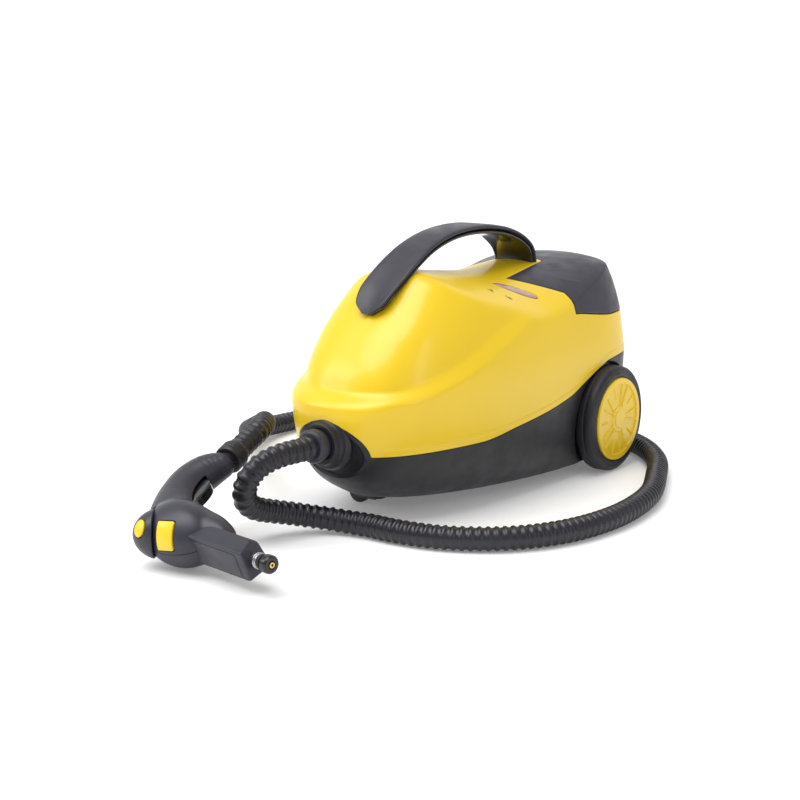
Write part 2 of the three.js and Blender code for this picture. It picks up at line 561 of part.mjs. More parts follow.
// The end cap and both buttons face away from the grip: each has its own direction and its own upright.
const CAP = {
  dir: new THREE.Vector3(-0.69, -0.67, 0.28).normalize(), seam: 26.5, centre: 18, long: 29.5, round: 25,
};
const facing = (geometry, dir, up, at) => {
  const z = dir.clone().normalize();
  const x = up.clone().cross(z).normalize();
  const y = z.clone().cross(x);
  return geometry.applyMatrix4(new THREE.Matrix4().makeBasis(x, y, z).setPosition(at));
};
function capDome(grow) {
  const dome = new THREE.SphereGeometry(1, 16, 12).scale(CAP.round + grow, CAP.round + grow, CAP.long + grow);
  return facing(dome, CAP.dir, new THREE.Vector3(0, 0, 1), CAP.dir.clone().multiplyScalar(CAP.centre));
}
function capSide(grow) {
  const half = 30;
  const plug = cylinder('z', half, 2 * half, 0, 0, 0, 24);
  return facing(plug, CAP.dir, new THREE.Vector3(0, 0, 1),
    CAP.dir.clone().multiplyScalar(CAP.seam - grow + half));
}
const BUTTON_UP = new THREE.Vector3(-0.152, 0.516, 0.843);
const SQUARE = { at: new THREE.Vector3(12.2, -25.1, 17.8), dir: new THREE.Vector3(0.197, -0.8, 0.568) };
const OVAL = { at: new THREE.Vector3(-16, -31.5, 23.9), dir: new THREE.Vector3(0.024, -0.675, 0.737) };
const squareButton = (grow) => facing(
  box(19 + 2 * grow, 27 + 2 * grow, 30, 0, 0, 0), SQUARE.dir, BUTTON_UP, SQUARE.at);
const ovalButton = (grow) => facing(
  plate(ellipse(0, 0, 6.2 + grow, 8.4 + grow, 20), -12, 12), OVAL.dir, BUTTON_UP, OVAL.at);
const TRIGGER = { pivot: [-42, 30], thick: 12 };
const triggerBlade = (grow) => plate(
  [[-50 - grow, 26 - grow], [-36, 24 - grow], [-26 + grow, 34], [-27 + grow, 50], [-34 + grow, 66],
    [-42, 72 + grow],
    [-50 - grow, 68]],
  -TRIGGER.thick / 2 - grow, TRIGGER.thick / 2 + grow);

function gunShell(low) {
  const outer = unite(gunHead(0), gunGrip(0));
  const inner = unite(gunHead(-2.5), gunGrip(-2.5));
  const cuffHole = new THREE.CylinderGeometry(9.6, 9.6, 60, 20).applyQuaternion(
    new THREE.Quaternion().setFromUnitVectors(new THREE.Vector3(0, 1, 0), CUFF_DIR),
  ).translate(CUFF.x, CUFF.y, 0);
  const whole = cut(outer, inner, halfSpace(!low), capSide(0.2), squareButton(RUN), triggerBlade(2), cuffHole,
    cylinder('x', 8.4, 60, 60, 0, 0, 20));
  return whole;
}
gunPiece('gun_shell_lower', gunShell(true), GREY_BLACK);
gunPiece('gun_shell_upper', gunShell(false), GREY_BLACK);
const endCap = cut(common(capDome(0), capSide(-0.2)), capDome(-2.5), ovalButton(RUN), gunGrip(0.4));
gunPiece('gun_end_cap', endCap, GREY_BLACK);

gunPiece('steam_button', common(squareButton(0), cut(gunHead(1.4), gunHead(-5))), YELLOW);
gunPiece('lock_button', common(ovalButton(0), cut(capDome(1.2), capDome(-5))), YELLOW);
const pivotHole = cylinder('z', 1.5 + RUN, 40, ...TRIGGER.pivot, 0, 12);
gunPiece('gun_trigger', cut(triggerBlade(0), pivotHole), GLOSS_BLACK);
gunPiece('trigger_pin', cylinder('z', 1.5, 34, ...TRIGGER.pivot, 0, 12), STEEL);

// spout: a long box with its upper far edge taken off, starting against the head
const SPOUT = { from: 20, to: 112, wide: 28, high: 32 };
const spoutEnd = [[-14, -16], [14, -16], [14, 2], [6, 16], [-14, 16]]; // y, z of its section
const spoutBlock = new THREE.ExtrudeGeometry(
  new THREE.Shape(spoutEnd.map(([y, z]) => new THREE.Vector2(y, z))),
  { depth: SPOUT.to - SPOUT.from, bevelEnabled: false })
  .applyMatrix4(new THREE.Matrix4().makeBasis(
    new THREE.Vector3(0, 1, 0), new THREE.Vector3(0, 0, 1), new THREE.Vector3(1, 0, 0)))
  .translate(SPOUT.from, 0, 0);
gunPiece('gun_spout', cut(spoutBlock, gunHead(GAP), cylinder('x', 6.3, 30, SPOUT.to, 0, 0, 20)), GREY_BLACK);
const NOZZLE_X = SPOUT.to;
gunPiece('nozzle_stem', turned('x', [[2.2, -12], [6, -12], [6, 2], [7.5, 2.6], [7.5, 6], [5.6, 7], [5.6, 12],
  [2.2, 12], [2.2, -12]], NOZZLE_X, 0, 0, 20), STEEL);
gunPiece('nozzle_oring', ring('x', 5.7, 7.4, 7.4, 10.4, NOZZLE_X, 0, 0, 20), RUBBER);
gunPiece('nozzle_head', turned('x', [
  [3.2, 12.4], [7.6, 12.4], [8.6, 14], [8.6, 20], [7.4, 22], [3.2, 22], [3.2, 12.4]],
  NOZZLE_X, 0, 0, 24), BLACK);
gunPiece('nozzle_core', ring('x', 1.2, 2.9, 12.4, 22.6, NOZZLE_X, 0, 0, 16), BRASS);
gunPiece('gun_steam_tube', tubeAlong([[-61, 94, 0], [-66, 72, 0], [-64, 48, 0], [-57, 30, 0], [-40, 12, 0],
  [-14, 2, 0], [16, 0, 0], [34, 0, 0]], 3, 1.8, 10, 6), BRASS);

const cuffTurn = new THREE.Quaternion().setFromUnitVectors(new THREE.Vector3(0, 1, 0), CUFF_DIR);
const cuffProfile = [[0, -10], [9.2, -10], [9.2, 0], [14, 1], [15.2, 4], [15.2, 16], [13, 22], [0, 22]];
const cuff = new THREE.LatheGeometry(cuffProfile.map(([r, h]) => new THREE.Vector2(r, h)), 24)
  .applyQuaternion(cuffTurn).translate(CUFF.x, CUFF.y, 0);
gunPiece('hose_cuff', cuff, BLACK);

const hoseEnd = new THREE.Vector3(CUFF.x, CUFF.y, 0).addScaledVector(CUFF_DIR, 22.35).applyMatrix4(gunFrame);
const hoseDirection = CUFF_DIR.clone().transformDirection(gunFrame);
const lastStretch = [44, 22, 0].map((run) => hoseEnd.clone().addScaledVector(hoseDirection, run).toArray());
add('hose', tubeAlong([...HOSE_ROUTE, ...lastStretch], HOSE_R, 0, 50, 8), BLACK);

// ---------------------------------------------------------------- origin
// The origin is the middle of the underside of everything but the hose and its plug and cuff.
const LOOSE = ['hose', 'hose_plug', 'hose_cuff'];
const bounds = new THREE.Box3();
for (const mesh of steamCleaner.children) {
  if (!LOOSE.includes(mesh.name)) bounds.expandByObject(mesh);
}
const middle = bounds.getCenter(new THREE.Vector3());
steamCleaner.position.set(-middle.x, -middle.y, -bounds.min.z);

export default steamCleaner;
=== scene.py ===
"""A canister steam cleaner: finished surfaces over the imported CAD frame.

The pieces are drawn in the machine's own millimetres: x = 0 is the middle plane, the nose points along -y, the
rear axle lies on y = 0 and the floor is z = 0. in_metres() moves them into the row frame.
"""
import json
import math

import bmesh
import bpy
import numpy as np
from mathutils import Euler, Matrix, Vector


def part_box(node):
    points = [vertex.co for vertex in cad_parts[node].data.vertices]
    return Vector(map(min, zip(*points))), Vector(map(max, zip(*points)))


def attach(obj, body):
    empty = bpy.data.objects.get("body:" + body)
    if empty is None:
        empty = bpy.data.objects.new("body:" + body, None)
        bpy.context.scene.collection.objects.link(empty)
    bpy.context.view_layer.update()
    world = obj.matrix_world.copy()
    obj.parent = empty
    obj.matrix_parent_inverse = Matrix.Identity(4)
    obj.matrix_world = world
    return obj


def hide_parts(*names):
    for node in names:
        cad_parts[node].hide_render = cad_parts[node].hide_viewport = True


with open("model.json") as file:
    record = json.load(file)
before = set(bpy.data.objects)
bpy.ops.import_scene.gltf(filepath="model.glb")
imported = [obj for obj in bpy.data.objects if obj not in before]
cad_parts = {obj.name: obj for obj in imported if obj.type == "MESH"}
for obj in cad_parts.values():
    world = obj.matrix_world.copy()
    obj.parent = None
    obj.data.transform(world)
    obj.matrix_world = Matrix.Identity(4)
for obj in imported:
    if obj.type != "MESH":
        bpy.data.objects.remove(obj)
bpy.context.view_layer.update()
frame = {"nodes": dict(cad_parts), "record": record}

axle_low, axle_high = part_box("rear_axle")
AXLE = (axle_low + axle_high) / 2
SHIFT = np.array([0.0, AXLE.y, 0.0])


def in_metres(points):
    return np.asarray(points, float) / 1000 + SHIFT


# ---------------------------------------------------------------- camera
camera_data = bpy.data.cameras.new("camera")
camera_data.lens = 72
camera_data.sensor_width = 36
camera_data.clip_end = 30
camera = bpy.data.objects.new("camera", camera_data)
bpy.context.scene.collection.objects.link(camera)
camera.location = in_metres([1007.7, -1618.0, 477.8])
VIEW_AZIMUTH, VIEW_FALL = math.radians(36.5), math.radians(12.17)
look = Vector((-math.sin(VIEW_AZIMUTH) * math.cos(VIEW_FALL), math.cos(VIEW_AZIMUTH) * math.cos(VIEW_FALL),
               -math.sin(VIEW_FALL)))
camera.rotation_mode = "QUATERNION"
camera.rotation_quaternion = look.to_track_quat("-Z", "Y")
bpy.context.scene.camera = camera
bpy.context.scene.view_settings.view_transform = "Standard"


# ---------------------------------------------------------------- materials
def material(name, color, rough, metal=0.0, grain=900, grain_depth=0.02, patch=0.12, blotch=9, coat=0.0,
             rough_swing=0.08):
    """A moulded or turned surface: slow colour and gloss variation, and fine grain in the bump."""
    mat = bpy.data.materials.new(name)
    mat.use_nodes = True
    tree = mat.node_tree
    nodes, links = tree.nodes, tree.links
    shader = nodes["Principled BSDF"]
    shader.inputs["Metallic"].default_value = metal
    shader.inputs["Coat Weight"].default_value = coat
    shader.inputs["Coat Roughness"].default_value = 0.08
    place = nodes.new("ShaderNodeTexCoord")
    slow = nodes.new("ShaderNodeTexNoise")
    slow.inputs["Scale"].default_value = blotch
    slow.inputs["Detail"].default_value = 4
    links.new(place.outputs["Object"], slow.inputs["Vector"])
    ramp = nodes.new("ShaderNodeValToRGB")
    ramp.color_ramp.elements[0].position = 0.3
    ramp.color_ramp.elements[1].position = 0.7
    ramp.color_ramp.elements[0].color = (*[c * (1 - patch) for c in color], 1)
    ramp.color_ramp.elements[1].color = (*[min(1, c * (1 + patch)) for c in color], 1)
    links.new(slow.outputs["Fac"], ramp.inputs["Fac"])
    links.new(ramp.outputs["Color"], shader.inputs["Base Color"])
    gloss = nodes.new("ShaderNodeMapRange")
    gloss.inputs["From Min"].default_value = 0.3
    gloss.inputs["From Max"].default_value = 0.7
    gloss.inputs["To Min"].default_value = max(0.02, rough - rough_swing)
    gloss.inputs["To Max"].default_value = rough + rough_swing
    fine = nodes.new("ShaderNodeTexNoise")
    fine.inputs["Scale"].default_value = grain
    fine.inputs["Detail"].default_value = 3
    links.new(place.outputs["Object"], fine.inputs["Vector"])
    mid = nodes.new("ShaderNodeTexNoise")
    mid.inputs["Scale"].default_value = blotch * 6
    links.new(place.outputs["Object"], mid.inputs["Vector"])
    links.new(mid.outputs["Fac"], gloss.inputs["Value"])
    links.new(gloss.outputs["Result"], shader.inputs["Roughness"])
    bump = nodes.new("ShaderNodeBump")
    bump.inputs["Strength"].default_value = grain_depth
    bump.inputs["Distance"].default_value = 0.001
    links.new(fine.outputs["Fac"], bump.inputs["Height"])
    links.new(bump.outputs["Normal"], shader.inputs["Normal"])
    return mat


MATS = {
    "yellow_casing": material("yellow_casing", (0.86, 0.585, 0.010), 0.34, patch=0.015, coat=0.15, grain_depth=0.015,
                              rough_swing=0.03),
    "black_base": material("black_base", (0.0075, 0.0072, 0.0105), 0.45, grain_depth=0.05, patch=0.15),
    "grey_lid": material("grey_lid", (0.026, 0.025, 0.038), 0.42, grain_depth=0.04, patch=0.07),
    "gloss_black": material("gloss_black", (0.008, 0.008, 0.010), 0.12, coat=0.6, grain_depth=0.004, patch=0.1,
                            rough_swing=0.03),
    "wheel_black": material("wheel_black", (0.010, 0.0095, 0.014), 0.5, grain=1500, grain_depth=0.12, patch=0.15),
    "hose_rubber": material("hose_rubber", (0.0105, 0.010, 0.0165), 0.34, grain=1200, grain_depth=0.05, patch=0.2),
    "seal_rubber": material("seal_rubber", (0.02, 0.02, 0.021), 0.6, patch=0.15),
    "steel": material("steel", (0.60, 0.60, 0.62), 0.28, metal=1.0, grain=500, patch=0.05),
    "brass": material("brass", (0.72, 0.50, 0.20), 0.26, metal=1.0, patch=0.08),
    "heater_alloy": material("heater_alloy", (0.5, 0.5, 0.52), 0.5, metal=1.0, grain=300, grain_depth=0.2),
    "lens": material("lens", (0.42, 0.24, 0.20), 0.10, coat=0.8, patch=0.25, blotch=40, grain_depth=0.0,
                     rough_swing=0.03),
    "nozzle_black": material("nozzle_black", (0.010, 0.010, 0.012), 0.3, patch=0.1),
    "board_green": material("board_green", (0.03, 0.14, 0.07), 0.35, patch=0.3, blotch=120),
    "fuse_ceramic": material("fuse_ceramic", (0.72, 0.69, 0.62), 0.5, patch=0.06),
    "print_dark": material("print_dark", (0.05, 0.035, 0.01), 0.5, patch=0.1),
}
SLOT_OF = {s["node"]: s["material_slot"] for s in frame["record"]["subparts"]}


# ---------------------------------------------------------------- making objects
def make(name, points, faces, slot, body="machine", replaces=(), normals=None, smooth=True, bevel=None, sharp=None):
    """A mesh piece from points in machine millimetres."""
    mesh = bpy.data.meshes.new(name)
    mesh.from_pydata([tuple(p) for p in in_metres(points)], [], [tuple(int(i) for i in f) for f in faces])
    mesh.validate()
    mesh.update()
    mesh.shade_smooth() if smooth else mesh.shade_flat()
    if smooth and sharp is not None:
        mesh.set_sharp_from_angle(angle=math.radians(sharp))
    if normals is not None and len(mesh.vertices) == len(normals):
        mesh.normals_split_custom_set_from_vertices([tuple(n) for n in normals])
    piece = bpy.data.objects.new(name, mesh)
    bpy.context.scene.collection.objects.link(piece)
    mesh.materials.append(MATS[slot])
    if bevel:
        modifier = piece.modifiers.new("edges", "BEVEL")
        modifier.width = bevel / 1000
        modifier.segments = 3
        modifier.limit_method = "ANGLE"
        modifier.angle_limit = math.radians(35)
        modifier.harden_normals = True
    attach(piece, body)
    if replaces:
        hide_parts(*replaces)
    return piece


def grid_faces(rows, columns, closed=True):
    """Quads between rows of points; closed joins each row's end to its start."""
    faces = []
    for r in range(rows - 1):
        for c in range(columns if closed else columns - 1):
            a, b = r * columns + c, r * columns + (c + 1) % columns
            faces.append((a, b, b + columns, a + columns))
    return faces


def smooth_line(t, points):
    """A smooth monotone curve through (t, value) points."""
    x, v = np.array(points, float).T
    slope = np.diff(v) / np.diff(x)
    a, b = slope[:-1], slope[1:]
    both = a * b
    inner = np.where(both > 0, 2 * both / np.where(np.abs(a + b) < 1e-12, 1, a + b), 0)
    tangent = np.concatenate([[slope[0]], inner, [slope[-1]]])
    t = np.clip(t, x[0], x[-1])
    i = np.clip(np.searchsorted(x, t, side="right") - 1, 0, len(x) - 2)
    h = x[i + 1] - x[i]
    s = (t - x[i]) / h
    return ((2 * s**3 - 3 * s**2 + 1) * v[i] + (s**3 - 2 * s**2 + s) * h * tangent[i]
            + (3 * s**2 - 2 * s**3) * v[i + 1] + (s**3 - s**2) * h * tangent[i + 1])


def through(points, count):
    """A centripetal Catmull-Rom curve through points, at count even steps along its length."""
    p = np.array(points, float)
    p = np.vstack([2 * p[0] - p[1], p, 2 * p[-1] - p[-2]])
    knots = np.concatenate([[0], np.cumsum(np.linalg.norm(np.diff(p, axis=0), axis=1) ** 0.5)])
    fine = []
    for i in range(1, len(p) - 2):
        t = np.linspace(knots[i], knots[i + 1], 40, endpoint=i == len(p) - 3)[:, None]
        k = knots[i - 1:i + 3]
        a1 = (k[1] - t) / (k[1] - k[0]) * p[i - 1] + (t - k[0]) / (k[1] - k[0]) * p[i]
        a2 = (k[2] - t) / (k[2] - k[1]) * p[i] + (t - k[1]) / (k[2] - k[1]) * p[i + 1]
        a3 = (k[3] - t) / (k[3] - k[2]) * p[i + 1] + (t - k[2]) / (k[3] - k[2]) * p[i + 2]
        b1 = (k[2] - t) / (k[2] - k[0]) * a1 + (t - k[0]) / (k[2] - k[0]) * a2
        b2 = (k[3] - t) / (k[3] - k[1]) * a2 + (t - k[1]) / (k[3] - k[1]) * a3
        fine.append((k[2] - t) / (k[2] - k[1]) * b1 + (t - k[1]) / (k[2] - k[1]) * b2)
    fine = np.vstack(fine)
    run = np.concatenate([[0], np.cumsum(np.linalg.norm(np.diff(fine, axis=0), axis=1))])
    at = np.linspace(0, run[-1], count)
    return np.stack([np.interp(at, run, fine[:, k]) for k in range(p.shape[1])], 1), run[-1]


def swept(path, rings, start_up=(0, 0, 1)):
    """Rings of (across, up) offsets carried along a path without twisting."""
    path = np.asarray(path, float)
    tangent = np.gradient(path, axis=0)
    tangent /= np.linalg.norm(tangent, axis=1)[:, None]
    up = np.array(start_up, float)
    points = []
    for p, t, ring in zip(path, tangent, rings):
        up = up - t * (up @ t)
        up /= np.linalg.norm(up)
        side = np.cross(t, up)
        points.append(p + ring[:, :1] * side + ring[:, 1:] * up)
    return np.vstack(points)


def circle(count, radius=1.0):
    a = 2 * np.pi * np.arange(count) / count
    return np.stack([radius * np.cos(a), radius * np.sin(a)], 1)


def turned(profile, axis, centre, sides=64):
    """A turned surface from (radius, distance along axis) points, closed on itself or ending on the axis."""
    axis = np.array(axis, float) / np.linalg.norm(axis)
    other = np.array([0, 0, 1.0]) if abs(axis[2]) < 0.9 else np.array([1.0, 0, 0])
    u = np.cross(other, axis)
    u /= np.linalg.norm(u)
    w = np.cross(axis, u)
    ring = circle(sides)
    points = np.vstack([np.array(centre) + axis * h + r * (ring[:, :1] * u + ring[:, 1:] * w) for r, h in profile])
    faces = []
    for r in range(len(profile) - 1):
        for c in range(sides):
            a, b = r * sides + c, r * sides + (c + 1) % sides
            quad = (a, b, b + sides, a + sides)
            if profile[r][0] < 1e-6:
                quad = (a, b + sides, a + sides)
            elif profile[r + 1][0] < 1e-6:
                quad = (a, b, a + sides)
            faces.append(quad)
    return points, faces


def rounded(profile, radius, steps=4):
    """The profile with each inner corner replaced by a small arc."""
    out = [profile[0]]
    for before, here, after in zip(profile, profile[1:], profile[2:]):
        a, p, b = np.array(before, float), np.array(here, float), np.array(after, float)
        la, lb = np.linalg.norm(a - p), np.linalg.norm(b - p)
        cut = min(radius, 0.4 * la, 0.4 * lb)
        if cut < 1e-3:
            out.append(tuple(p))
            continue
        start, end = p + (a - p) / la * cut, p + (b - p) / lb * cut
        for i in range(steps + 1):
            t = i / steps
            out.append(tuple((1 - t) ** 2 * start + 2 * t * (1 - t) * p + t * t * end))
    out.append(profile[-1])
    return out


def turned_piece(name, profile, axis, centre, slot, radius=0.6, sides=64, **options):
    points, faces = turned(rounded(profile, radius), axis, centre, sides)
    return make(name, points, faces, slot, sharp=50, **options)


# ---------------------------------------------------------------- skins cut from a smooth field
def gradient(field, points, step=0.05):
    return np.stack([(field(points + d) - field(points - d)) / (2 * step) for d in np.eye(3) * step], 1)


def unit(v):
    return v / np.maximum(np.linalg.norm(v, axis=1), 1e-9)[:, None]


def settle(field, points, rounds=3):
    """Moves points onto the field's zero."""
    for _ in range(rounds):
        g = gradient(field, points)
        points = points - g * (field(points) / np.maximum((g * g).sum(1), 1e-9))[:, None]
    return points


class Skin:
    """Triangles on a field's zero surface, which can be refined and cut along the zero of any other function."""

    def __init__(self, points, triangles, field):
        self.p, self.t, self.field = np.asarray(points, float), np.asarray(triangles, int), field

    def copy(self):
        return Skin(self.p.copy(), self.t.copy(), self.field)

    def split_edges(self, edges, where):
        """Puts a new point on each listed edge and joins it up."""
        start = len(self.p)
        self.p = np.vstack([self.p, where])
        new = {tuple(e): start + i for i, e in enumerate(edges)}
        out = []
        keys = [np.sort(self.t[:, [a, b]], axis=1) for a, b in ((0, 1), (1, 2), (2, 0))]
        for row, (a, b, c) in enumerate(self.t):
            m = [new.get((k[row][0], k[row][1])) for k in keys]
            hits = sum(x is not None for x in m)
            if hits == 0:
                out.append((a, b, c))
                continue
            corner = [a, b, c]
            while (hits == 1 and m[0] is None) or (hits == 2 and m[2] is not None):
                corner = corner[1:] + corner[:1]
                m = m[1:] + m[:1]
            a, b, c = corner
            if hits == 1:
                out += [(a, m[0], c), (m[0], b, c)]
            elif hits == 2:
                out += [(m[0], b, m[1]), (a, m[0], m[1]), (a, m[1], c)]
            else:
                out += [(a, m[0], m[2]), (m[0], b, m[1]), (m[2], m[1], c), (m[0], m[1], m[2])]
        self.t = np.array(out, int)

    def edges(self):
        sides = np.vstack([self.t[:, [0, 1]], self.t[:, [1, 2]], self.t[:, [2, 0]]])
        return np.unique(np.sort(sides, axis=1), axis=0)

    def refine(self, function, band, size):
        """Halves edges longer than size that lie within band of the function's zero."""
        for _ in range(4):
            e = self.edges()
            a, b = self.p[e[:, 0]], self.p[e[:, 1]]
            long = np.linalg.norm(a - b, axis=1) > size
            near = np.minimum(np.abs(function(a)), np.abs(function(b))) < band
            near |= function(a) * function(b) < 0
            e = e[long & near]
            if len(e) == 0:
                return self
            self.split_edges(e, settle(self.field, (self.p[e[:, 0]] + self.p[e[:, 1]]) / 2))
        return self

    def cut(self, function, level=0.0):
        """Makes the line function = level an edge line of the skin."""
        g = function(self.p) - level
        e = self.edges()
        ga, gb = g[e[:, 0]], g[e[:, 1]]
        cross = (ga * gb < 0) & (np.abs(ga) > 0.03) & (np.abs(gb) > 0.03)
        e = e[cross]
        if len(e) == 0:
            return self
        a, b = self.p[e[:, 0]], self.p[e[:, 1]]
        low, high = np.zeros(len(e)), np.ones(len(e))
        rising = (function(a) - level) < 0
        for _ in range(12):
            t = (low + high) / 2
            value = function(a + (b - a) * t[:, None]) - level
            before = (value < 0) == rising
            low, high = np.where(before, t, low), np.where(before, high, t)
        self.split_edges(e, settle(self.field, a + (b - a) * low[:, None], 2))
        return self

    def keep(self, function, level=0.0):
        """Drops what lies below the level."""
        middle = self.p[self.t].mean(1)
        self.t = self.t[function(middle) > level]
        used = np.unique(self.t)
        index = -np.ones(len(self.p), int)
        index[used] = np.arange(len(used))
        self.p, self.t = self.p[used], index[self.t]
        return self

    def rim(self):
        """Directed boundary edges."""
        directed = np.vstack([self.t[:, [0, 1]], self.t[:, [1, 2]], self.t[:, [2, 0]]])
        there = {tuple(d) for d in directed}
        return np.array([d for d in directed if (d[1], d[0]) not in there], int)


def no_depth(points):
    return np.zeros(len(points))


def panel(name, skin, slot, depth=no_depth, wall=3.0, target=None, place=None, turn=None, **options):
    """Gives a cut skin its depth, a wall round its rim and an inner face."""
    normal = unit(gradient(skin.field, skin.p))
    outer = skin.p - normal * depth(skin.p)[:, None]
    slope = gradient(depth, skin.p)
    slope -= normal * (slope * normal).sum(1)[:, None]
    shade = unit(normal + slope)
    count = len(skin.p)
    inner = skin.p - normal * wall
    rim = skin.rim()
    points, normals = [outer, inner], [shade, -normal]
    faces = [skin.t, skin.t[:, ::-1] + count]
    if len(rim):
        edge = np.unique(rim)
        order = {v: i for i, v in enumerate(edge)}
        drop = inner[edge].copy()
        if target is not None:
            drop = target(skin.p[edge], drop)
        base = 2 * count
        points += [outer[edge], drop]
        a = np.array([order[v] for v in rim[:, 0]])
        b = np.array([order[v] for v in rim[:, 1]])
        n = len(edge)
        quads = np.stack([base + b, base + a, base + n + a, base + n + b], 1)
        wall_normal = np.zeros((n, 3))
        side = np.cross(outer[rim[:, 1]] - outer[rim[:, 0]], normal[rim[:, 0]])
        np.add.at(wall_normal, a, side)
        np.add.at(wall_normal, b, side)
        wall_normal = unit(wall_normal)
        normals += [wall_normal, wall_normal]
        triangles = np.vstack([quads[:, [0, 1, 2]], quads[:, [0, 2, 3]]])
        faces.append(triangles)
    points, normals = np.vstack(points), np.vstack(normals)
    if place is not None:
        points, normals = place(points), normals @ turn.T
    return make(name, points, np.vstack(faces), slot, normals=normals, **options)


def rolled(function, radius, start=0.0):
    """How far an edge rounded to a radius falls away near the function's zero."""
    def fall(points):
        d = np.clip(function(points) - start, 0, radius)
        return radius - np.sqrt(np.maximum(radius**2 - (radius - d) ** 2, 0))
    return fall


def smooth_max(a, b, blend):
    h = np.clip(0.5 + 0.5 * (a - b) / blend, 0, 1)
    return b * (1 - h) + a * h + blend * h * (1 - h)


def smooth_step(t):
    t = np.clip(t, 0, 1)
    return t * t * (3 - 2 * t)


# ---------------------------------------------------------------- the casing's outer surface
CASING = {
    "widest": -45,
    "front": [[12, -298], [25, -335], [50, -368], [85, -383], [115, -386], [150, -377], [190, -350], [217, -322],
              [240, -298], [262, -268]],
    "half": [[12, 104], [50, 108], [130, 112], [170, 107], [205, 98], [235, 86], [262, 70]],
    "rear": [[12, 60], [60, 76], [130, 84], [180, 84], [215, 80], [250, 70]],
    "nose_fullness": [[12, 1.6], [40, 2.3], [80, 2.7], [120, 2.9], [217, 3.6]],
    "rear_fullness": 4.5,
    "crown": [[-300, 261], [-270, 258], [-190, 247], [-110, 240], [-40, 243], [30, 245], [90, 242]],
    "camber": [[-110, 0.0044], [-50, 0.0038], [50, 0.0016]],
    "ledge_low": [[-400, 127], [-365, 130], [-327, 135], [-278, 147], [-217, 168], [-162, 189], [-120, 206]],
    "ledge_high": [[-400, 139], [-344, 145], [-301, 157], [-247, 177], [-205, 194], [-149, 214], [-100, 235]],
    "ledge_depth": [[-400, 3.5], [-360, 5], [-300, 6], [-200, 5.5], [-140, 3.5], [-95, 0]],
    "floor": 14,
}


def casing_side(points):
    """The field of the casing's side walls alone, with the ledge that sweeps round the nose."""
    x, y, z = np.asarray(points, float).T
    dy = y - CASING["widest"]
    half = smooth_line(z, CASING["half"])
    front = dy < 0
    reach = np.where(front, CASING["widest"] - smooth_line(z, CASING["front"]),
                     smooth_line(z, CASING["rear"]) - CASING["widest"])
    power = np.where(front, smooth_line(z, CASING["nose_fullness"]), CASING["rear_fullness"])
    rho = ((np.abs(x) / half + 1e-9) ** power + (np.abs(dy) / reach + 1e-9) ** power) ** (1 / power)
    low = smooth_line(y, CASING["ledge_low"])
    rise = smooth_step((z - low) / (smooth_line(y, CASING["ledge_high"]) - low))
    return (rho - 1) * np.minimum(half, reach) + smooth_line(y, CASING["ledge_depth"]) * rise


def casing_top(points):
    x, y, z = np.asarray(points, float).T
    return z - smooth_line(y, CASING["crown"]) + smooth_line(y, CASING["camber"]) * x * x


def casing(points, blend=5.0):
    """About the distance of points outside the casing's outer surface, negative inside."""
    field = smooth_max(casing_side(points), casing_top(points), blend)
    return smooth_max(field, CASING["floor"] - np.asarray(points)[:, 2], 5)


CORE = np.array([0, -152, 110.0])
CORE_SIZE = np.array([110, 236, 130.0])


def casing_skin(columns, rows):
    """The whole casing's surface, from rays out of an inner point."""
    lift = np.pi * (np.arange(1, rows) / rows - 0.5)
    turn = 2 * np.pi * np.arange(columns) / columns
    lift, turn = np.meshgrid(lift, turn, indexing="ij")
    ray = np.stack([np.cos(lift) * np.sin(turn), -np.cos(lift) * np.cos(turn), np.sin(lift)], -1).reshape(-1, 3)
    ray = np.vstack([ray, [0, 0, -1], [0, 0, 1]]) * CORE_SIZE
    inside, outside = np.zeros(len(ray)), np.full(len(ray), 1.6)
    for _ in range(34):
        t = (inside + outside) / 2
        out = casing(CORE + ray * t[:, None]) > 0
        inside, outside = np.where(out, inside, t), np.where(out, t, outside)
    points = CORE + ray * inside[:, None]
    faces = []
    for a, b, c, d in grid_faces(rows - 1, columns):
        faces += [(a, b, c), (a, c, d)]
    last = (rows - 2) * columns
    bottom, top = len(points) - 2, len(points) - 1
    for c in range(columns):
        n = (c + 1) % columns
        faces += [(bottom, n, c), (top, last + c, last + n)]
    return Skin(points, faces, casing)


# ---------------------------------------------------------------- hose
HOSE_R = 12.4
SOCKET = np.array([0, -384, 90.0])
PLUG_END = -26
GUN = {"x": -27, "y": -567, "z": 33, "yaw": -9.8, "tilt": 23}
gun_turn = np.array(Euler((0, 0, math.radians(GUN["yaw"]))).to_matrix()) @ np.array(
    Euler((math.radians(GUN["tilt"]), 0, 0)).to_matrix())
GUN_AT = np.array([GUN["x"], GUN["y"], GUN["z"]], float)


def from_gun(points):
    return np.asarray(points, float) @ gun_turn.T + GUN_AT


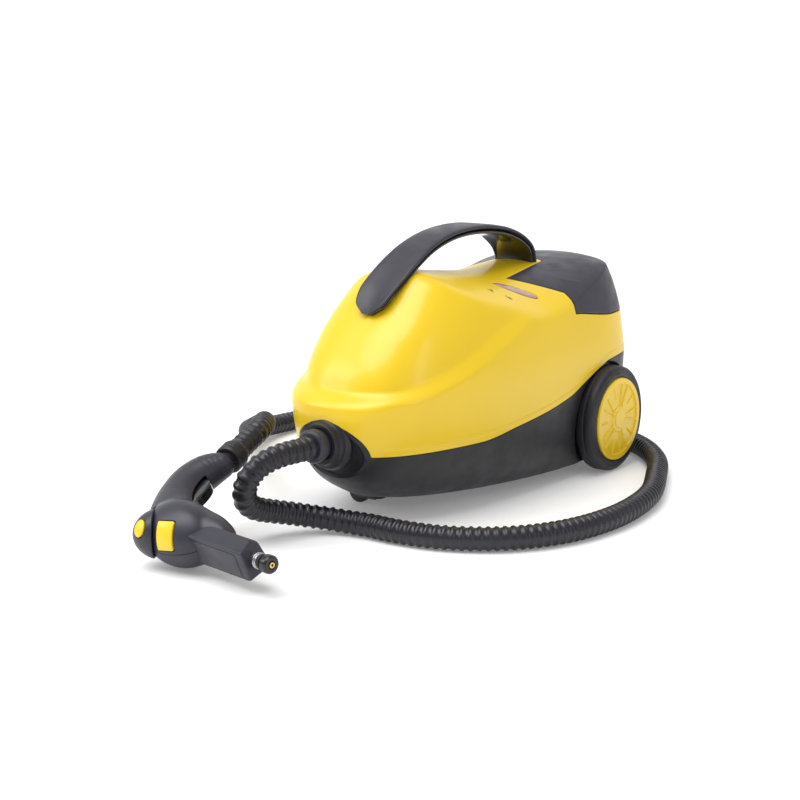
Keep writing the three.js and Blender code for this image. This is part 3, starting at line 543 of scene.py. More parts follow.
CUFF = np.array([-59, 108.5, 0])
CUFF_DIR = np.array([-0.35, 0.93, -0.1]) / np.linalg.norm([-0.35, 0.93, -0.1])
hose_end = from_gun([CUFF + CUFF_DIR * 22.35])[0]
hose_way = gun_turn @ CUFF_DIR
HOSE_ROUTE = [
    [0, SOCKET[1] + PLUG_END - 0.35, 90], [0, -424, 90], [-2, -440, 90], [-6, -456, 88], [-12, -471, 82],
    [-18, -481, 71], [-22, -484, 58], [-25, -479, 45], [-25, -466, 35], [-21, -449, 29], [-13, -431, 24],
    [-1, -413, 19], [16, -399, 15.5], [36, -390, 13], [60, -386, 12.6], [90, -386, 12.6], [140, -376, 12.6],
    [190, -344, 12.6], [226, -290, 12.6], [242, -212, 12.6], [232, -120, 12.6], [200, -40, 12.6],
    [164, 28, 12.6], [112, 82, 12.6], [40, 116, 12.6], [-50, 130, 12.6], [-140, 118, 12.6], [-222, 76, 12.6],
    [-278, 22, 12.6], [-306, -46, 12.6], [-309, -116, 15], [-284, -180, 24], [-240, -234, 41],
    [-190, -280, 60], [-141, -321, 79], [-104, -361, 92],
    *[(hose_end + hose_way * run).tolist() for run in (44, 22, 0)],
]
RIB_PITCH = 8.6
_, hose_length = through(HOSE_ROUTE, 10)
rib_count = int(round(hose_length / RIB_PITCH))
RIB = [(0.0, 0.875), (0.16, 0.88), (0.27, 0.915), (0.36, 0.98), (0.46, 1.0), (0.58, 1.0), (0.68, 0.98),
       (0.77, 0.915), (0.88, 0.88)]
shares = np.concatenate([(r + np.array([s for s, _ in RIB])) / rib_count for r in range(rib_count)] + [[1.0]])
radii = np.array([k for _ in range(rib_count) for _, k in RIB] + [RIB[0][1]]) * HOSE_R
even, _ = through(HOSE_ROUTE, 3000)
hose_line = np.stack([np.interp(shares, np.linspace(0, 1, 3000), even[:, k]) for k in range(3)], 1)
HOSE_SIDES = 28
hose_points = swept(hose_line, [circle(HOSE_SIDES, r) for r in radii], (1, 0, 0.2))
hose_faces = grid_faces(len(hose_line), HOSE_SIDES)
hose_faces.append(tuple(range(HOSE_SIDES)))
hose_faces.append(tuple(reversed(range(len(hose_points) - HOSE_SIDES, len(hose_points)))))
hose = make("steam_hose", hose_points, [f[::-1] for f in hose_faces], "hose_rubber", replaces=("hose",))

plug_profile = [(0, PLUG_END), (14.5, PLUG_END), (16.6, PLUG_END + 1.5), (17.5, PLUG_END + 4), (17.5, -15.5),
                (15.9, -14), (15.7, -12.5), (15.7, 12), (0, 12)]
hose_plug = turned_piece("hose_plug_body", plug_profile, (0, 1, 0), SOCKET, "grey_lid", replaces=("hose_plug",))
cuff_profile = [(0, -10), (9.2, -10), (9.2, 0.2), (14.2, 0.4), (15.2, 3), (15.2, 6), (14.6, 6.6), (14.6, 8.2),
                (15.2, 8.8), (15.2, 11), (14.6, 11.6), (14.6, 13.2), (15.2, 13.8), (15.2, 16), (13, 22), (0, 22)]
hose_cuff = turned_piece("hose_cuff_body", cuff_profile, gun_turn @ CUFF_DIR, from_gun([CUFF])[0], "black_base",
                         radius=0.5, replaces=("hose_cuff",))

# ---------------------------------------------------------------- casing panels
GAP = 0.35
PARTING = [[-420, 77], [-245, 77], [-186, 84], [-129, 91], [-82, 100], [-50, 112], [-16, 124], [6, 130], [60, 133],
           [120, 133]]
LID_SIDE = [[-140, 194], [-52, 191], [-23, 187], [24, 182], [140, 182]]
LID_PLAN = np.array([[28.2, -12], [41, -110], [85, -57], [140, -60], [140, 140], [-140, 140], [-140, -60],
                     [-85, -57], [-41, -110], [-28.2, -12]], float)
WHEEL_R, WHEEL_FACE, HUB_R = 62.0, 128.0, 48.5
CASTER = {"x": -8, "y": -286, "well_r": 39, "well_top": 29, "trail": 24, "r": 12.5, "width": 11}
SCREWS = np.array([[62, -190], [-62, -190], [70, -60], [-70, -60]], float)


def above_parting(points):
    """How far a point lies above the parting line, or outside the arch over the hose socket."""
    x, y, z = points.T
    side = z - smooth_line(y, PARTING)
    arch = (np.sqrt((x / 46) ** 2 + ((z - 78) / 33) ** 2) - 1) * 38
    return np.where(y < -300, np.minimum(side, arch), side)


def in_lid(points):
    x, y, z = points.T
    p = np.stack([x, y], 1)
    inside = np.zeros(len(p), bool)
    nearest = np.full(len(p), 1e9)
    for a, b in zip(LID_PLAN, np.roll(LID_PLAN, -1, axis=0)):
        t = np.clip(((p - a) @ (b - a)) / ((b - a) @ (b - a)), 0, 1)
        nearest = np.minimum(nearest, np.linalg.norm(p - a - t[:, None] * (b - a), axis=1))
        with np.errstate(divide="ignore", invalid="ignore"):
            crosses = ((a[1] > y) != (b[1] > y)) & (x < (b[0] - a[0]) * (y - a[1]) / (b[1] - a[1]) + a[0])
        inside ^= crosses
    plan = np.where(inside, nearest, -nearest)
    return np.where(z > 150, np.minimum(plan, z - smooth_line(y, LID_SIDE)), -50.0)


LENS = {"x": 63, "y": -126, "long": 27, "wide": 6.8, "turn": math.atan2(62, 40)}


def in_lens(points):
    x, y, z = points.T
    c, s = math.cos(LENS["turn"]), math.sin(LENS["turn"])
    u, v = (x - LENS["x"]) * c + (y - LENS["y"]) * s, -(x - LENS["x"]) * s + (y - LENS["y"]) * c
    value = (1 - np.sqrt((u / LENS["long"]) ** 2 + (v / LENS["wide"]) ** 2)) * LENS["wide"]
    return np.where(z > 190, value, -20.0)


def wheel_hole(points):
    x, y, z = points.T
    return np.where(np.abs(x) > 60, np.hypot(y, z - WHEEL_R) - WHEEL_R - 4, 50.0)


def caster_hole(points):
    x, y, z = points.T
    return np.where(z < 40, np.hypot(x - CASTER["x"], y - CASTER["y"]) - CASTER["well_r"], 50.0)


def screw_holes(points):
    x, y, z = points.T
    near = np.min([np.hypot(x - a, y - b) for a, b in SCREWS], axis=0) - 4.6
    return np.where(z < 40, near, 50.0)


def socket_recess(points):
    """Above zero inside the shallow recess round the hose socket."""
    x, y, z = points.T
    return np.where(y < -300, (1 - np.sqrt((x / 41) ** 2 + ((z - 78) / 28) ** 2)) * 33, -50.0)


ROLL = 1.0
ROLL_STEPS = (0, 0.12, 0.4, 1)
whole = casing_skin(200, 104)


def shell_region(points):
    return np.minimum(above_parting(points) - GAP, -in_lid(points) - 0.8)


def shell_lip(points):
    """The thin raised line that runs a little above the parting line along the sides."""
    height = above_parting(points) - 7.5
    fade = smooth_step((points[:, 1] + 372) / 40)
    return -0.55 * fade * smooth_step(1 - np.abs(height) / 1.3) - 0.35 * fade * smooth_step(-height / 1.5)


shell = whole.copy().keep(shell_region, -12)
shell.refine(shell_region, 7, 3.0).refine(in_lens, 4, 2.4).refine(lambda p: above_parting(p) - 7.5, 3, 3.0)
for step in ROLL_STEPS:
    shell.cut(shell_region, step * ROLL)
for level in (6.0, 6.75, 7.5, 8.15, 8.8):
    shell.cut(above_parting, level)
shell.keep(shell_region)
for level in (GAP, GAP + 0.4, GAP + 0.9):
    shell.cut(lambda p: -in_lens(p), level)
shell.keep(lambda p: -in_lens(p), GAP)
lens_roll = rolled(lambda p: -in_lens(p), 0.9, GAP)
panel("casing_upper", shell, "yellow_casing", replaces=("upper_shell",),
      depth=lambda p: rolled(shell_region, ROLL)(p) + shell_lip(p) + lens_roll(p))

lens = whole.copy().keep(in_lens, -8).refine(in_lens, 6, 1.6)
for level in (0, 0.3, 0.8, 1.4):
    lens.cut(in_lens, level)
lens.keep(in_lens)
panel("indicator_window", lens, "lens", wall=2.5, replaces=("indicator_lens",),
      depth=lambda p: rolled(in_lens, 0.9)(p) - 0.5 * smooth_step(in_lens(p) / 2.5))


def mark(points, x, y, long, wide, turn):
    u = (points[:, 0] - x) * math.cos(turn) + (points[:, 1] - y) * math.sin(turn)
    v = -(points[:, 0] - x) * math.sin(turn) + (points[:, 1] - y) * math.cos(turn)
    value = np.minimum(long - np.abs(u), wide - np.abs(v))
    return np.where(points[:, 2] > 190, value, -20.0)


# two small printed marks beside the window: a drop and a bar over a dash
MARKS = [lambda p: np.maximum(mark(p, 63, -176, 3.4, 0.7, 0.5), mark(p, 62, -173, 1.4, 1.5, 0.5)),
         lambda p: np.maximum(mark(p, 74, -158, 3.4, 0.7, 0.5), mark(p, 75, -155, 2.2, 0.8, 0.5))]
for index, spot in enumerate(MARKS):
    piece = whole.copy().keep(spot, -9).refine(spot, 5, 0.8).cut(spot).keep(spot)
    panel(f"print_mark_{index + 1}", piece, "print_dark", wall=0.0, depth=lambda p: np.full(len(p), -0.06))

LID_ROLL = 1.2


def lid_region(points):
    return in_lid(points) - 0.2


def lid_crease(points):
    """Zero where the lid's top facet meets its side."""
    return casing_top(points) - casing_side(points)


lid = whole.copy().keep(lid_region, -10)
lid.field = lambda p: casing(p, 0.8)
lid.p = settle(lid.field, lid.p, 4)
lid.refine(lid_region, 6, 3.0).refine(lid_crease, 5, 3.0)
for level in (-0.5, 0, 0.5):
    lid.cut(lid_crease, level)
for step in ROLL_STEPS:
    lid.cut(lid_region, step * LID_ROLL)
lid.keep(lid_region)
panel("lid_cover", lid, "grey_lid", body="lid", depth=rolled(lid_region, LID_ROLL))


def base_region(points):
    return np.minimum.reduce([-above_parting(points), wheel_hole(points), caster_hole(points), screw_holes(points)])


def base_depth(points):
    recess = 3.0 * smooth_step((socket_recess(points) + 0.8) / 1.6)
    return rolled(base_region, 0.7)(points) + recess


def base_wall(points, drop):
    """The walls of the wheel arches, the caster's well and the screw holes go straight in."""
    at_wheel = np.abs(wheel_hole(points)) < 0.4
    drop[at_wheel] = points[at_wheel]
    drop[at_wheel, 0] = np.sign(points[at_wheel, 0]) * 100.5
    for hole, depth in ((caster_hole, CASTER["well_top"]), (screw_holes, 18.0)):
        there = np.abs(hole(points)) < 0.4
        drop[there] = points[there]
        drop[there, 2] = depth
    return drop


base = whole.copy().keep(lambda p: -above_parting(p), -12)
base.refine(base_region, 5, 3.2).refine(screw_holes, 5, 1.6).refine(socket_recess, 5, 2.2)
for level in (0, 0.1, 0.3, 0.7):
    base.cut(base_region, level)
base.keep(base_region)
for level in (-0.8, -0.3, 0.2, 0.8):
    base.cut(socket_recess, level)
bore = lambda p: np.where(p[:, 1] < -300, np.hypot(p[:, 0], p[:, 2] - SOCKET[2]) - 19.6, 50.0)
base.refine(bore, 4, 2.2).cut(bore).keep(bore)
panel("casing_base", base, "black_base", depth=base_depth, target=base_wall, replaces=("base_tray",))

# floors of the wheel arches, cut off flat above the floor, and of the caster's well
ARCH_FLOOR, ARCH_BACK = 100.5, 98
for side, name in ((1, "right"), (-1, "left")):
    profile = [(5.4, ARCH_FLOOR), (WHEEL_R + 4, ARCH_FLOOR), (WHEEL_R + 4, ARCH_BACK), (5.4, ARCH_BACK),
               (5.4, ARCH_FLOOR)]
    points, faces = turned(rounded(profile, 0.6), (side, 0, 0), (0, 0, WHEEL_R), 64)
    points[:, 2] = np.maximum(points[:, 2], CASING["floor"] + 0.5)
    make(f"wheel_arch_{name}", points, faces, "black_base", sharp=50)
WELL_LOW, WELL_HIGH = CASTER["well_top"], CASTER["well_top"] + 3
well = [(4.5, WELL_LOW), (CASTER["well_r"], WELL_LOW), (CASTER["well_r"], WELL_HIGH), (4.5, WELL_HIGH),
        (4.5, WELL_LOW)]
turned_piece("caster_well_top", well, (0, 0, 1), (CASTER["x"], CASTER["y"], 0), "black_base")

# ---------------------------------------------------------------- carrying handle
HANDLE_LINE = [[-318, 216, 6], [-313, 225, 17], [-300, 238.5, 22], [-283, 250, 23.5], [-258, 265, 23.5],
               [-227, 279.5, 22.5], [-190, 289.5, 21.8], [-150, 293.5, 22.2], [-110, 292, 24.5],
               [-75, 285.5, 26.8], [-48, 274.5, 28.2], [-31, 262, 28.3], [-24, 250, 27.8], [-22, 240, 27.5]]


def strap(depth_top, depth_bottom, inset, dish, power=0.45):
    """A strap between two depths under the handle line, hollowed across its width towards the front."""
    line, _ = through(HANDLE_LINE, 96)
    steps, sides = len(line), 48
    way = np.gradient(line[:, :2], axis=0)
    way /= np.linalg.norm(way, axis=1)[:, None]
    points = []
    for j in range(steps):
        y, z, half = line[j]
        down = np.array([way[j, 1], -way[j, 0]])
        half = max(half - inset, 3)
        hollow = dish * smooth_step(1 - j / (0.45 * steps))
        a = 2 * np.pi * np.arange(sides) / sides
        across = np.sign(np.cos(a)) * np.abs(np.cos(a)) ** power
        deep = (1 - np.sign(np.sin(a)) * np.abs(np.sin(a)) ** 0.7) / 2
        depth = depth_top + (depth_bottom - depth_top) * deep + hollow * (1 - across**2) * (1 - deep)
        points.append(np.stack([half * across, y + down[0] * depth, z + down[1] * depth], 1))
    faces = grid_faces(steps, sides)
    faces += [tuple(reversed(range(sides))), tuple(range((steps - 1) * sides, steps * sides))]
    return np.vstack(points), faces


points, faces = strap(0, 6.4, 0, 4.5)
make("handle_top", points, faces, "grey_lid", replaces=("handle_grip",), sharp=60)
points, faces = strap(6.0, 11.5, 1.6, 0)
make("handle_lower", points, faces, "gloss_black", replaces=("handle_underside",), sharp=60)

# ---------------------------------------------------------------- rear wheels
SPOKES = 5
HUB_ROWS, HUB_COLUMNS = 100, 240


def hub_height(r, a):
    """The hub cap's relief: a raised rim, a round centre and pairs of ribs that part towards the rim."""
    height = 1.9 * smooth_step((r - 41.0) / 0.9) * smooth_step((HUB_R - r) / 0.8)
    height = np.maximum(height, 2.0 * smooth_step((11.0 - r) / 0.9))
    height = np.maximum(height, 1.1 * smooth_step((15.5 - r) / 0.8))
    pitch = 2 * math.pi / SPOKES
    turn = (a + pitch / 2) % pitch - pitch / 2
    spread = 2.4 + 0.24 * np.maximum(r - 20, 0)
    rib = smooth_step(1.6 - np.abs(np.abs(r * np.sin(turn)) - spread) / 0.9) * smooth_step((r - 12) / 2)
    height = np.maximum(height, 1.7 * rib * (r < 45))
    half = a % pitch - pitch / 2
    short = smooth_step(1.5 - np.abs(r * np.sin(half)) / 0.8) * smooth_step((r - 24) / 2)
    return np.maximum(height, 1.2 * short * (r < 45))


for side, name in ((1, "right"), (-1, "left")):
    tyre = [(HUB_R + 0.5, WHEEL_FACE - 6), (HUB_R + 0.5, WHEEL_FACE - 1), (HUB_R + 1.6, WHEEL_FACE - 0.2),
            (54, WHEEL_FACE - 0.2), (54.6, WHEEL_FACE - 0.9), (55.2, WHEEL_FACE - 0.2), (58.6, WHEEL_FACE - 1.0),
            (61.2, WHEEL_FACE - 3.4), (62, WHEEL_FACE - 7), (62, WHEEL_FACE - 10.6), (61.2, WHEEL_FACE - 11),
            (61.2, WHEEL_FACE - 12.6), (62, WHEEL_FACE - 13), (62, WHEEL_FACE - 19.5), (60, WHEEL_FACE - 23.7),
            (5.6, WHEEL_FACE - 23.7), (5.6, WHEEL_FACE - 11), (14, WHEEL_FACE - 11), (14, WHEEL_FACE - 6),
            (HUB_R + 0.5, WHEEL_FACE - 6)]
    turned_piece(f"tyre_{name}", tyre, (side, 0, 0), (0, 0, WHEEL_R), "wheel_black", radius=1.2, sides=128,
                 body=f"wheel_{name}", replaces=(f"wheel_{name}",))
    angles = 2 * np.pi * np.arange(HUB_COLUMNS) / HUB_COLUMNS
    r, a = np.meshgrid(np.linspace(0.01, HUB_R, HUB_ROWS), angles, indexing="ij")
    x = side * (WHEEL_FACE + hub_height(r, a))
    cap_points = np.stack([x, r * np.cos(a), WHEEL_R + r * np.sin(a)], -1).reshape(-1, 3)
    edge = np.stack([np.full(HUB_COLUMNS, side * (WHEEL_FACE - 5)), HUB_R * np.cos(angles),
                     WHEEL_R + HUB_R * np.sin(angles)], 1)
    cap_points = np.vstack([cap_points, edge])
    cap_faces = grid_faces(HUB_ROWS + 1, HUB_COLUMNS)
    if side < 0:
        cap_faces = [f[::-1] for f in cap_faces]
    make(f"hub_cover_{name}", cap_points, cap_faces, "yellow_casing", body=f"wheel_{name}",
         replaces=(f"hub_cap_{name}",), sharp=50)

# ---------------------------------------------------------------- hose socket
collar = [(19.6, 2), (30, 9), (30, 4), (27.6, -1), (26.4, -1.4), (24, -2), (22.4, -4), (21.6, -10.4), (20.6, -11),
          (16.4, -11), (16.4, 4), (19.6, 4), (19.6, 2)]
turned_piece("socket_collar", collar, (0, 1, 0), SOCKET, "black_base", radius=1.0, replaces=("hose_socket",))

# ---------------------------------------------------------------- trigger gun
HEAD = np.array([45, 32, 32.0])
HOOD, HOOD_AT = np.array([46, 20, 21.0]), np.array([18, 11, 0.0])
GRIP_LINE = [[-14, 2, 27], [-36, 17, 24], [-56, 40, 21.5], [-66, 64, 21], [-66, 84, 19.5], [-60, 99, 15.5]]
grip_points, _ = through(GRIP_LINE, 22)


def ellipsoid(p, size):
    k0 = np.linalg.norm(p / size, axis=1)
    k1 = np.linalg.norm(p / size**2, axis=1)
    return k0 * (k0 - 1) / np.maximum(k1, 1e-9)


def direction(x, y, z):
    return np.array([x, y, z]) / math.sqrt(x * x + y * y + z * z)


CAP_DIR, CAP_SEAM, CAP_CENTRE, CAP_LONG, CAP_ROUND = direction(-0.69, -0.67, 0.28), 26.5, 18, 29.5, 25


def about_cap(p):
    """Distance along the end cap's axis, and out from it."""
    along = p @ CAP_DIR
    return along, np.linalg.norm(p - along[:, None] * CAP_DIR, axis=1)


def cap_side(p):
    """Above zero on the end cap's side of its joint with the gun body."""
    along, out = about_cap(p)
    return np.minimum(along - CAP_SEAM, 30 - out)


def gun_body(points):
    """The gun body in its own frame: a full head, a hood over the spout and a grip that bows away."""
    p = np.asarray(points, float)
    head = ellipsoid(p, HEAD)
    hood = ellipsoid(p - HOOD_AT, HOOD)
    flat = p / np.array([1, 1, 0.92])
    grip = np.full(len(p), 1e9)
    for (ax, ay, ar), (bx, by, br) in zip(grip_points, grip_points[1:]):
        a, b = np.array([ax, ay, 0]), np.array([bx, by, 0])
        h = np.clip(((flat - a) @ (b - a)) / ((b - a) @ (b - a)), 0, 1)
        grip = np.minimum(grip, np.linalg.norm(flat - a - h[:, None] * (b - a), axis=1) - ar - h * (br - ar))
    grip = smooth_max(grip, (p - np.array([-59.6, 105.5, 0])) @ CUFF_DIR, 5)
    body = -smooth_max(-head, -grip, 5)
    return -smooth_max(-body, -hood, 3)


def cap_body(p):
    """The end cap: a dome that stands a little proud of the head."""
    along, out = about_cap(p)
    flat = np.stack([out, along - CAP_CENTRE, np.zeros(len(p))], 1)
    return ellipsoid(flat, np.array([CAP_ROUND, CAP_LONG, CAP_ROUND]))


def settled_skin(field, size, balls):
    """A fine even mesh round the listed ellipsoids, settled on the field's surface."""
    ball = bmesh.new()
    for centre, scale in balls:
        made = bmesh.ops.create_icosphere(ball, subdivisions=4, radius=1)
        for v in made["verts"]:
            v.co = Vector([v.co[k] * scale[k] + centre[k] for k in range(3)])
    mesh = bpy.data.meshes.new("scratch")
    ball.to_mesh(mesh)
    scratch = bpy.data.objects.new("scratch", mesh)
    bpy.context.scene.collection.objects.link(scratch)
    remesh = scratch.modifiers.new("even", "REMESH")
    remesh.mode = "VOXEL"
    remesh.voxel_size = size
    even_mesh = scratch.evaluated_get(bpy.context.evaluated_depsgraph_get()).to_mesh()
    p = np.array([v.co for v in even_mesh.vertices])
    t = []
    for polygon in even_mesh.polygons:
        v = list(polygon.vertices)
        t += [(v[0], v[i], v[i + 1]) for i in range(1, len(v) - 1)]
    bpy.data.objects.remove(scratch)
    bpy.data.meshes.remove(mesh)
    return Skin(settle(field, p, 8), t, field)


BUTTON_UP = np.array([-0.152, 0.516, 0.843])
SQUARE_AT, SQUARE_DIR = np.array([12.2, -25.1, 17.8]), direction(0.197, -0.8, 0.568)
OVAL_AT, OVAL_DIR = np.array([-16, -31.5, 23.9]), direction(0.024, -0.675, 0.737)


def facing(p, at, out):
    """Coordinates across, up and out of a face that looks along out."""
    across = np.cross(BUTTON_UP, out)
    across /= np.linalg.norm(across)
    return (p - at) @ across, (p - at) @ np.cross(out, across), (p - at) @ out


def square_button(p):
    u, v, w = facing(p, SQUARE_AT, SQUARE_DIR)
    corner = 1.8
    du, dv = np.abs(u) - 9.5 + corner, np.abs(v) - 13.5 + corner
    edge = np.hypot(np.maximum(du, 0), np.maximum(dv, 0)) + np.minimum(np.maximum(du, dv), 0) - corner
    return np.where(w > -15, -edge, -20)


def oval_button(p):
    u, v, w = facing(p, OVAL_AT, OVAL_DIR)
    return np.where(w > -14, (1 - np.sqrt((u / 6.2) ** 2 + (v / 8.4) ** 2)) * 7, -20)


TRIGGER_OUTLINE = [[-50, 26], [-36, 24], [-26, 34], [-27, 50], [-34, 66], [-42, 72], [-50, 68]]


def trigger_slot(p):
    """Above zero outside the slot that the trigger comes through."""
    inside = np.minimum.reduce([8.0 - np.abs(p[:, 2]), p[:, 1] - 25, 73.5 - p[:, 1]])
    grip_side = (p[:, 0] + 66 - 0.5 * np.abs(p[:, 1] - 60)) > 0
    return np.where(grip_side, -inside, 20)


def gun_part(name, start, region, slot, roll=0.6, wall=2.5, lift=0.0, refine=2.0, **options):
    skin = start.copy().keep(region, -6).refine(region, 4, refine)
    for step in ROLL_STEPS:
        skin.cut(region, step * roll)
    skin.keep(region)
    fall = rolled(region, roll)
    return panel(name, skin, slot, depth=lambda p: fall(p) - lift, wall=wall, place=from_gun,
                 turn=gun_turn, **options)


grip_balls = [((x, y, 0), np.array([r, r, 0.92 * r])) for x, y, r in grip_points]
gun_whole = settled_skin(gun_body, 1.9, [((0, 0, 0), HEAD), (HOOD_AT, HOOD), *grip_balls])
cap_whole = settled_skin(cap_body, 1.6, [(CAP_DIR * CAP_CENTRE, np.array([25.0, 25.0, 25.0])),
                                         (CAP_DIR * 22, np.array([24.0, 24.0, 24.0]))])
body_region = lambda p: np.minimum.reduce([-cap_side(p) - 0.35, -square_button(p) - 0.9, trigger_slot(p)])
gun_part("gun_half_upper", gun_whole, lambda p: np.minimum(body_region(p), p[:, 2] - 0.15), "grey_lid", roll=0.5,
         replaces=("gun_shell_upper",))
gun_part("gun_half_lower", gun_whole, lambda p: np.minimum(body_region(p), -p[:, 2] - 0.15), "grey_lid", roll=0.5,
         replaces=("gun_shell_lower",))
gun_part("gun_cap", cap_whole, lambda p: np.minimum(cap_side(p), -oval_button(p) - 0.5), "grey_lid", roll=1.2,
         replaces=("gun_end_cap",))
gun_part("steam_key_cap", gun_whole, square_button, "yellow_casing", roll=1.0, lift=1.5, refine=1.4,
         body="steam_key", replaces=("steam_button",))
gun_part("lock_key_cap", cap_whole, oval_button, "yellow_casing", roll=1.0, lift=1.3, refine=1.2,
         body="lock_key", replaces=("lock_button",))


def slab(name, outline, half, bevel, slot, body, replaces):
    """A plate with rounded edges from a closed outline in the gun's own plane."""
    closed = np.array(outline + outline[:1], float)
    fine, _ = through(closed, 44)
    fine = fine[:-1]
    n = len(fine)
    points = np.vstack([np.c_[fine, np.full(n, half)], np.c_[fine, np.full(n, -half)]])
    faces = [tuple(range(n)), tuple(reversed(range(n, 2 * n)))]
    faces += [(i, i + n, (i + 1) % n + n, (i + 1) % n) for i in range(n)]
    return make(name, from_gun(points), faces, slot, body=body, replaces=replaces, bevel=bevel, sharp=40)


slab("trigger_blade", TRIGGER_OUTLINE, 6, 2.0, "gloss_black", "trigger", ("gun_trigger",))

# the spout: a long block with framed sides and one corner taken off at its end
SECTION = [(-14, -16), (14, -16), (14, 8), (7, 16), (-14, 16)]
stations = [(24, 1.0), (108, 1.0), (112, 0.93)]
ring_points = []
for x, k in stations:
    for y, z in SECTION:
        cut_back = 8.0 if (x > 105 and z > 0 and y > 0) else 0.0
        ring_points.append((x - cut_back, y * k, z * k))
n = len(SECTION)
spout_faces = grid_faces(len(stations), n)
spout_faces += [tuple(reversed(range(n))), tuple(range((len(stations) - 1) * n, len(stations) * n))]
make("spout_block", from_gun(ring_points), spout_faces, "grey_lid", bevel=1.6, replaces=("gun_spout",))
near = [(34, -12.5), (102, -12.5), (102, 12.5), (34, 12.5)]
frame_points = [(x, -14.35, z) for x, z in near] + [(x + (1.5 if x < 50 else -1.5), -14.7, z * 0.9) for x, z in near]
frame_faces = [(0, 1, 5, 4), (1, 2, 6, 5), (2, 3, 7, 6), (3, 0, 4, 7), (4, 5, 6, 7)]
make("spout_side_rib", from_gun(frame_points), frame_faces, "grey_lid", bevel=0.5)

NOZZLE = from_gun([[112, 0, 0]])[0]
GUN_X = gun_turn @ np.array([1.0, 0, 0])
shank = [(2.2, -12), (6, -12), (6, 1.6), (7.6, 2.0), (7.6, 3.6), (6.2, 4.0), (6.2, 5.0), (7.6, 5.4), (7.6, 6.8),
         (5.6, 7.1), (5.6, 12), (2.2, 12), (2.2, -12)]
turned_piece("nozzle_shank", shank, GUN_X, NOZZLE, "steel", radius=0.3, replaces=("nozzle_stem",))
turned_piece("nozzle_seal", [(5.7, 7.4), (7.2, 7.4), (7.6, 8.9), (7.2, 10.4), (5.7, 10.4), (5.7, 7.4)], GUN_X, NOZZLE,
             "seal_rubber", replaces=("nozzle_oring",))
turned_piece("nozzle_tip", [(3.2, 12.4), (7.6, 12.4), (8.7, 14), (8.7, 20), (7.6, 22), (4.2, 22), (3.2, 20.6),
                            (3.2, 12.4)], GUN_X, NOZZLE, "nozzle_black", radius=0.5, replaces=("nozzle_head",))
core = [(1.2, 12.4), (2.9, 12.4), (2.9, 22.2), (2.4, 22.6), (1.4, 22.6), (1.2, 22.0), (1.2, 12.4)]
turned_piece("nozzle_insert", core, GUN_X, NOZZLE, "brass", radius=0.2, replaces=("nozzle_core",))

# ---------------------------------------------------------------- small pieces
roller = [(2.3, -5.5), (10.6, -5.5), (12.5, -3.6), (12.5, 3.6), (10.6, 5.5), (2.3, 5.5), (2.3, -5.5)]
turned_piece("caster_tyre", roller, (0, 1, 0), (CASTER["x"] - CASTER["trail"], CASTER["y"], CASTER["r"]), "wheel_black",
             body="caster_roller", replaces=("caster_wheel",))

sides = 180
angle = 2 * np.pi * np.arange(sides) / sides
knurl = 0.55 * (np.cos(angle * 30) > 0)
cap_rings = [(0.01, 205), (15, 205), (15.6, 204.4), (17.2, 204.4), (17.8, 205), (21.8, 205), (24.2, 203.8),
             (24.9, 201.6), (24.9, 183), (24.0, 182), (21.2, 182), (21, 196.9), (0.01, 196.9)]
cap_points = []
for radius, z in cap_rings:
    r = radius - (knurl if radius > 24.5 else 0)
    cap_points.append(np.stack([r * np.cos(angle), 40 + r * np.sin(angle), np.full(sides, z)], 1))
make("filler_knob", np.vstack(cap_points), grid_faces(len(cap_rings), sides), "black_base", body="filler_grip",
     replaces=("filler_cap",), sharp=40)

# ---------------------------------------------------------------- CAD nodes kept, with their materials
for node, piece in frame["nodes"].items():
    slot = SLOT_OF.get(node)
    if slot:
        piece.data.materials.clear()
        piece.data.materials.append(MATS[slot])

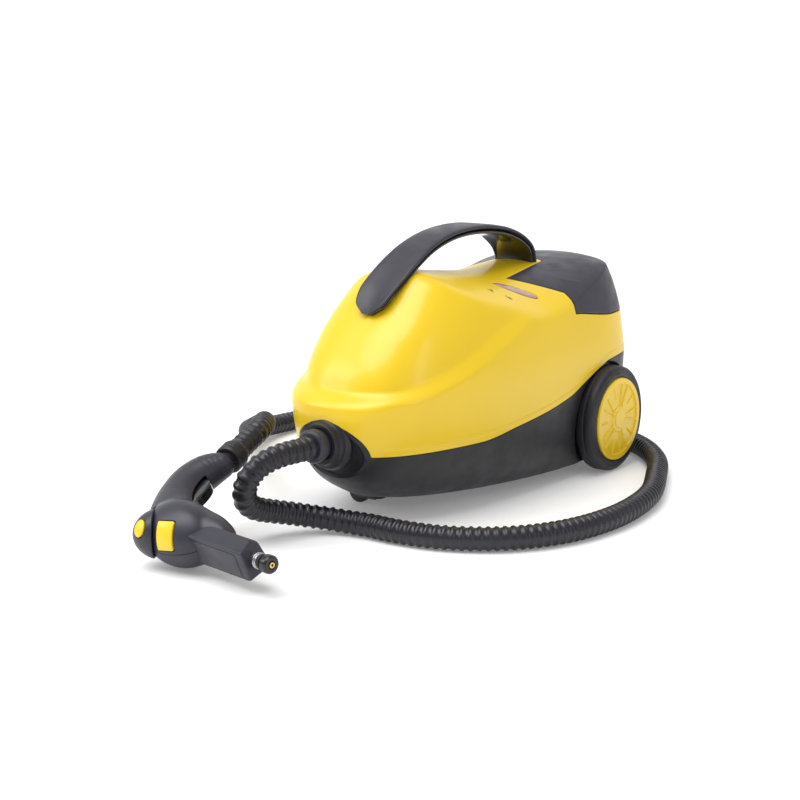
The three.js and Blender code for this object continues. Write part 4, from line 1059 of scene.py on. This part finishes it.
# ---------------------------------------------------------------- floor, light
floor_mat = material("floor_white", (0.88, 0.88, 0.885), 0.7, patch=0.01, grain=60, grain_depth=0.002)
glow = floor_mat.node_tree.nodes["Principled BSDF"].inputs
glow["Emission Color"].default_value = (1, 1, 1, 1)
glow["Emission Strength"].default_value = 0.16


def backdrop():
    """A pale sheet that lies flat under the machine and bends up far behind it."""
    near, far, turn, top = -5.0, 3.0, 1.5, 5.0
    line = [(near, 0.0)] + [(far + turn * math.sin(a), turn * (1 - math.cos(a)))
                            for a in np.linspace(0, math.pi / 2, 24)] + [(far + turn, top)]
    away = np.array([-math.sin(VIEW_AZIMUTH), math.cos(VIEW_AZIMUTH)])
    side = np.array([away[1], -away[0]])
    points = [(*(away * d + side * w), z) for d, z in line for w in (-7, 7)]
    mesh = bpy.data.meshes.new("backdrop")
    mesh.from_pydata(points, [], [(2 * i, 2 * i + 1, 2 * i + 3, 2 * i + 2) for i in range(len(line) - 1)])
    mesh.shade_smooth()
    sheet = bpy.data.objects.new("backdrop", mesh)
    bpy.context.scene.collection.objects.link(sheet)
    mesh.materials.append(floor_mat)


backdrop()

world = bpy.data.worlds.new("studio")
bpy.context.scene.world = world
world.use_nodes = True
world.node_tree.nodes["Background"].inputs["Color"].default_value = (1, 1, 1, 1)
world.node_tree.nodes["Background"].inputs["Strength"].default_value = 0.5


def aim(light, place, target):
    light.location = place
    light.rotation_mode = "QUATERNION"
    light.rotation_quaternion = (Vector(target) - Vector(place)).to_track_quat("-Z", "Y")
    bpy.context.scene.collection.objects.link(light)


def lamp(name, place, size, power, target=(0, 0, 0.12)):
    data = bpy.data.lights.new(name, "AREA")
    data.shape = "RECTANGLE"
    data.size, data.size_y = size
    data.energy = power
    aim(bpy.data.objects.new(name, data), place, target)


sun_data = bpy.data.lights.new("overhead", "SUN")
sun_data.energy = 2.3
sun_data.angle = math.radians(50)
aim(bpy.data.objects.new("overhead", sun_data), (-0.5, -0.75, 2.6), (0, 0, 0))
lamp("key_left", (-1.3, -1.2, 1.1), (0.7, 1.0), 9)
lamp("strip_right", (1.7, -0.1, 0.8), (0.3, 1.2), 3)
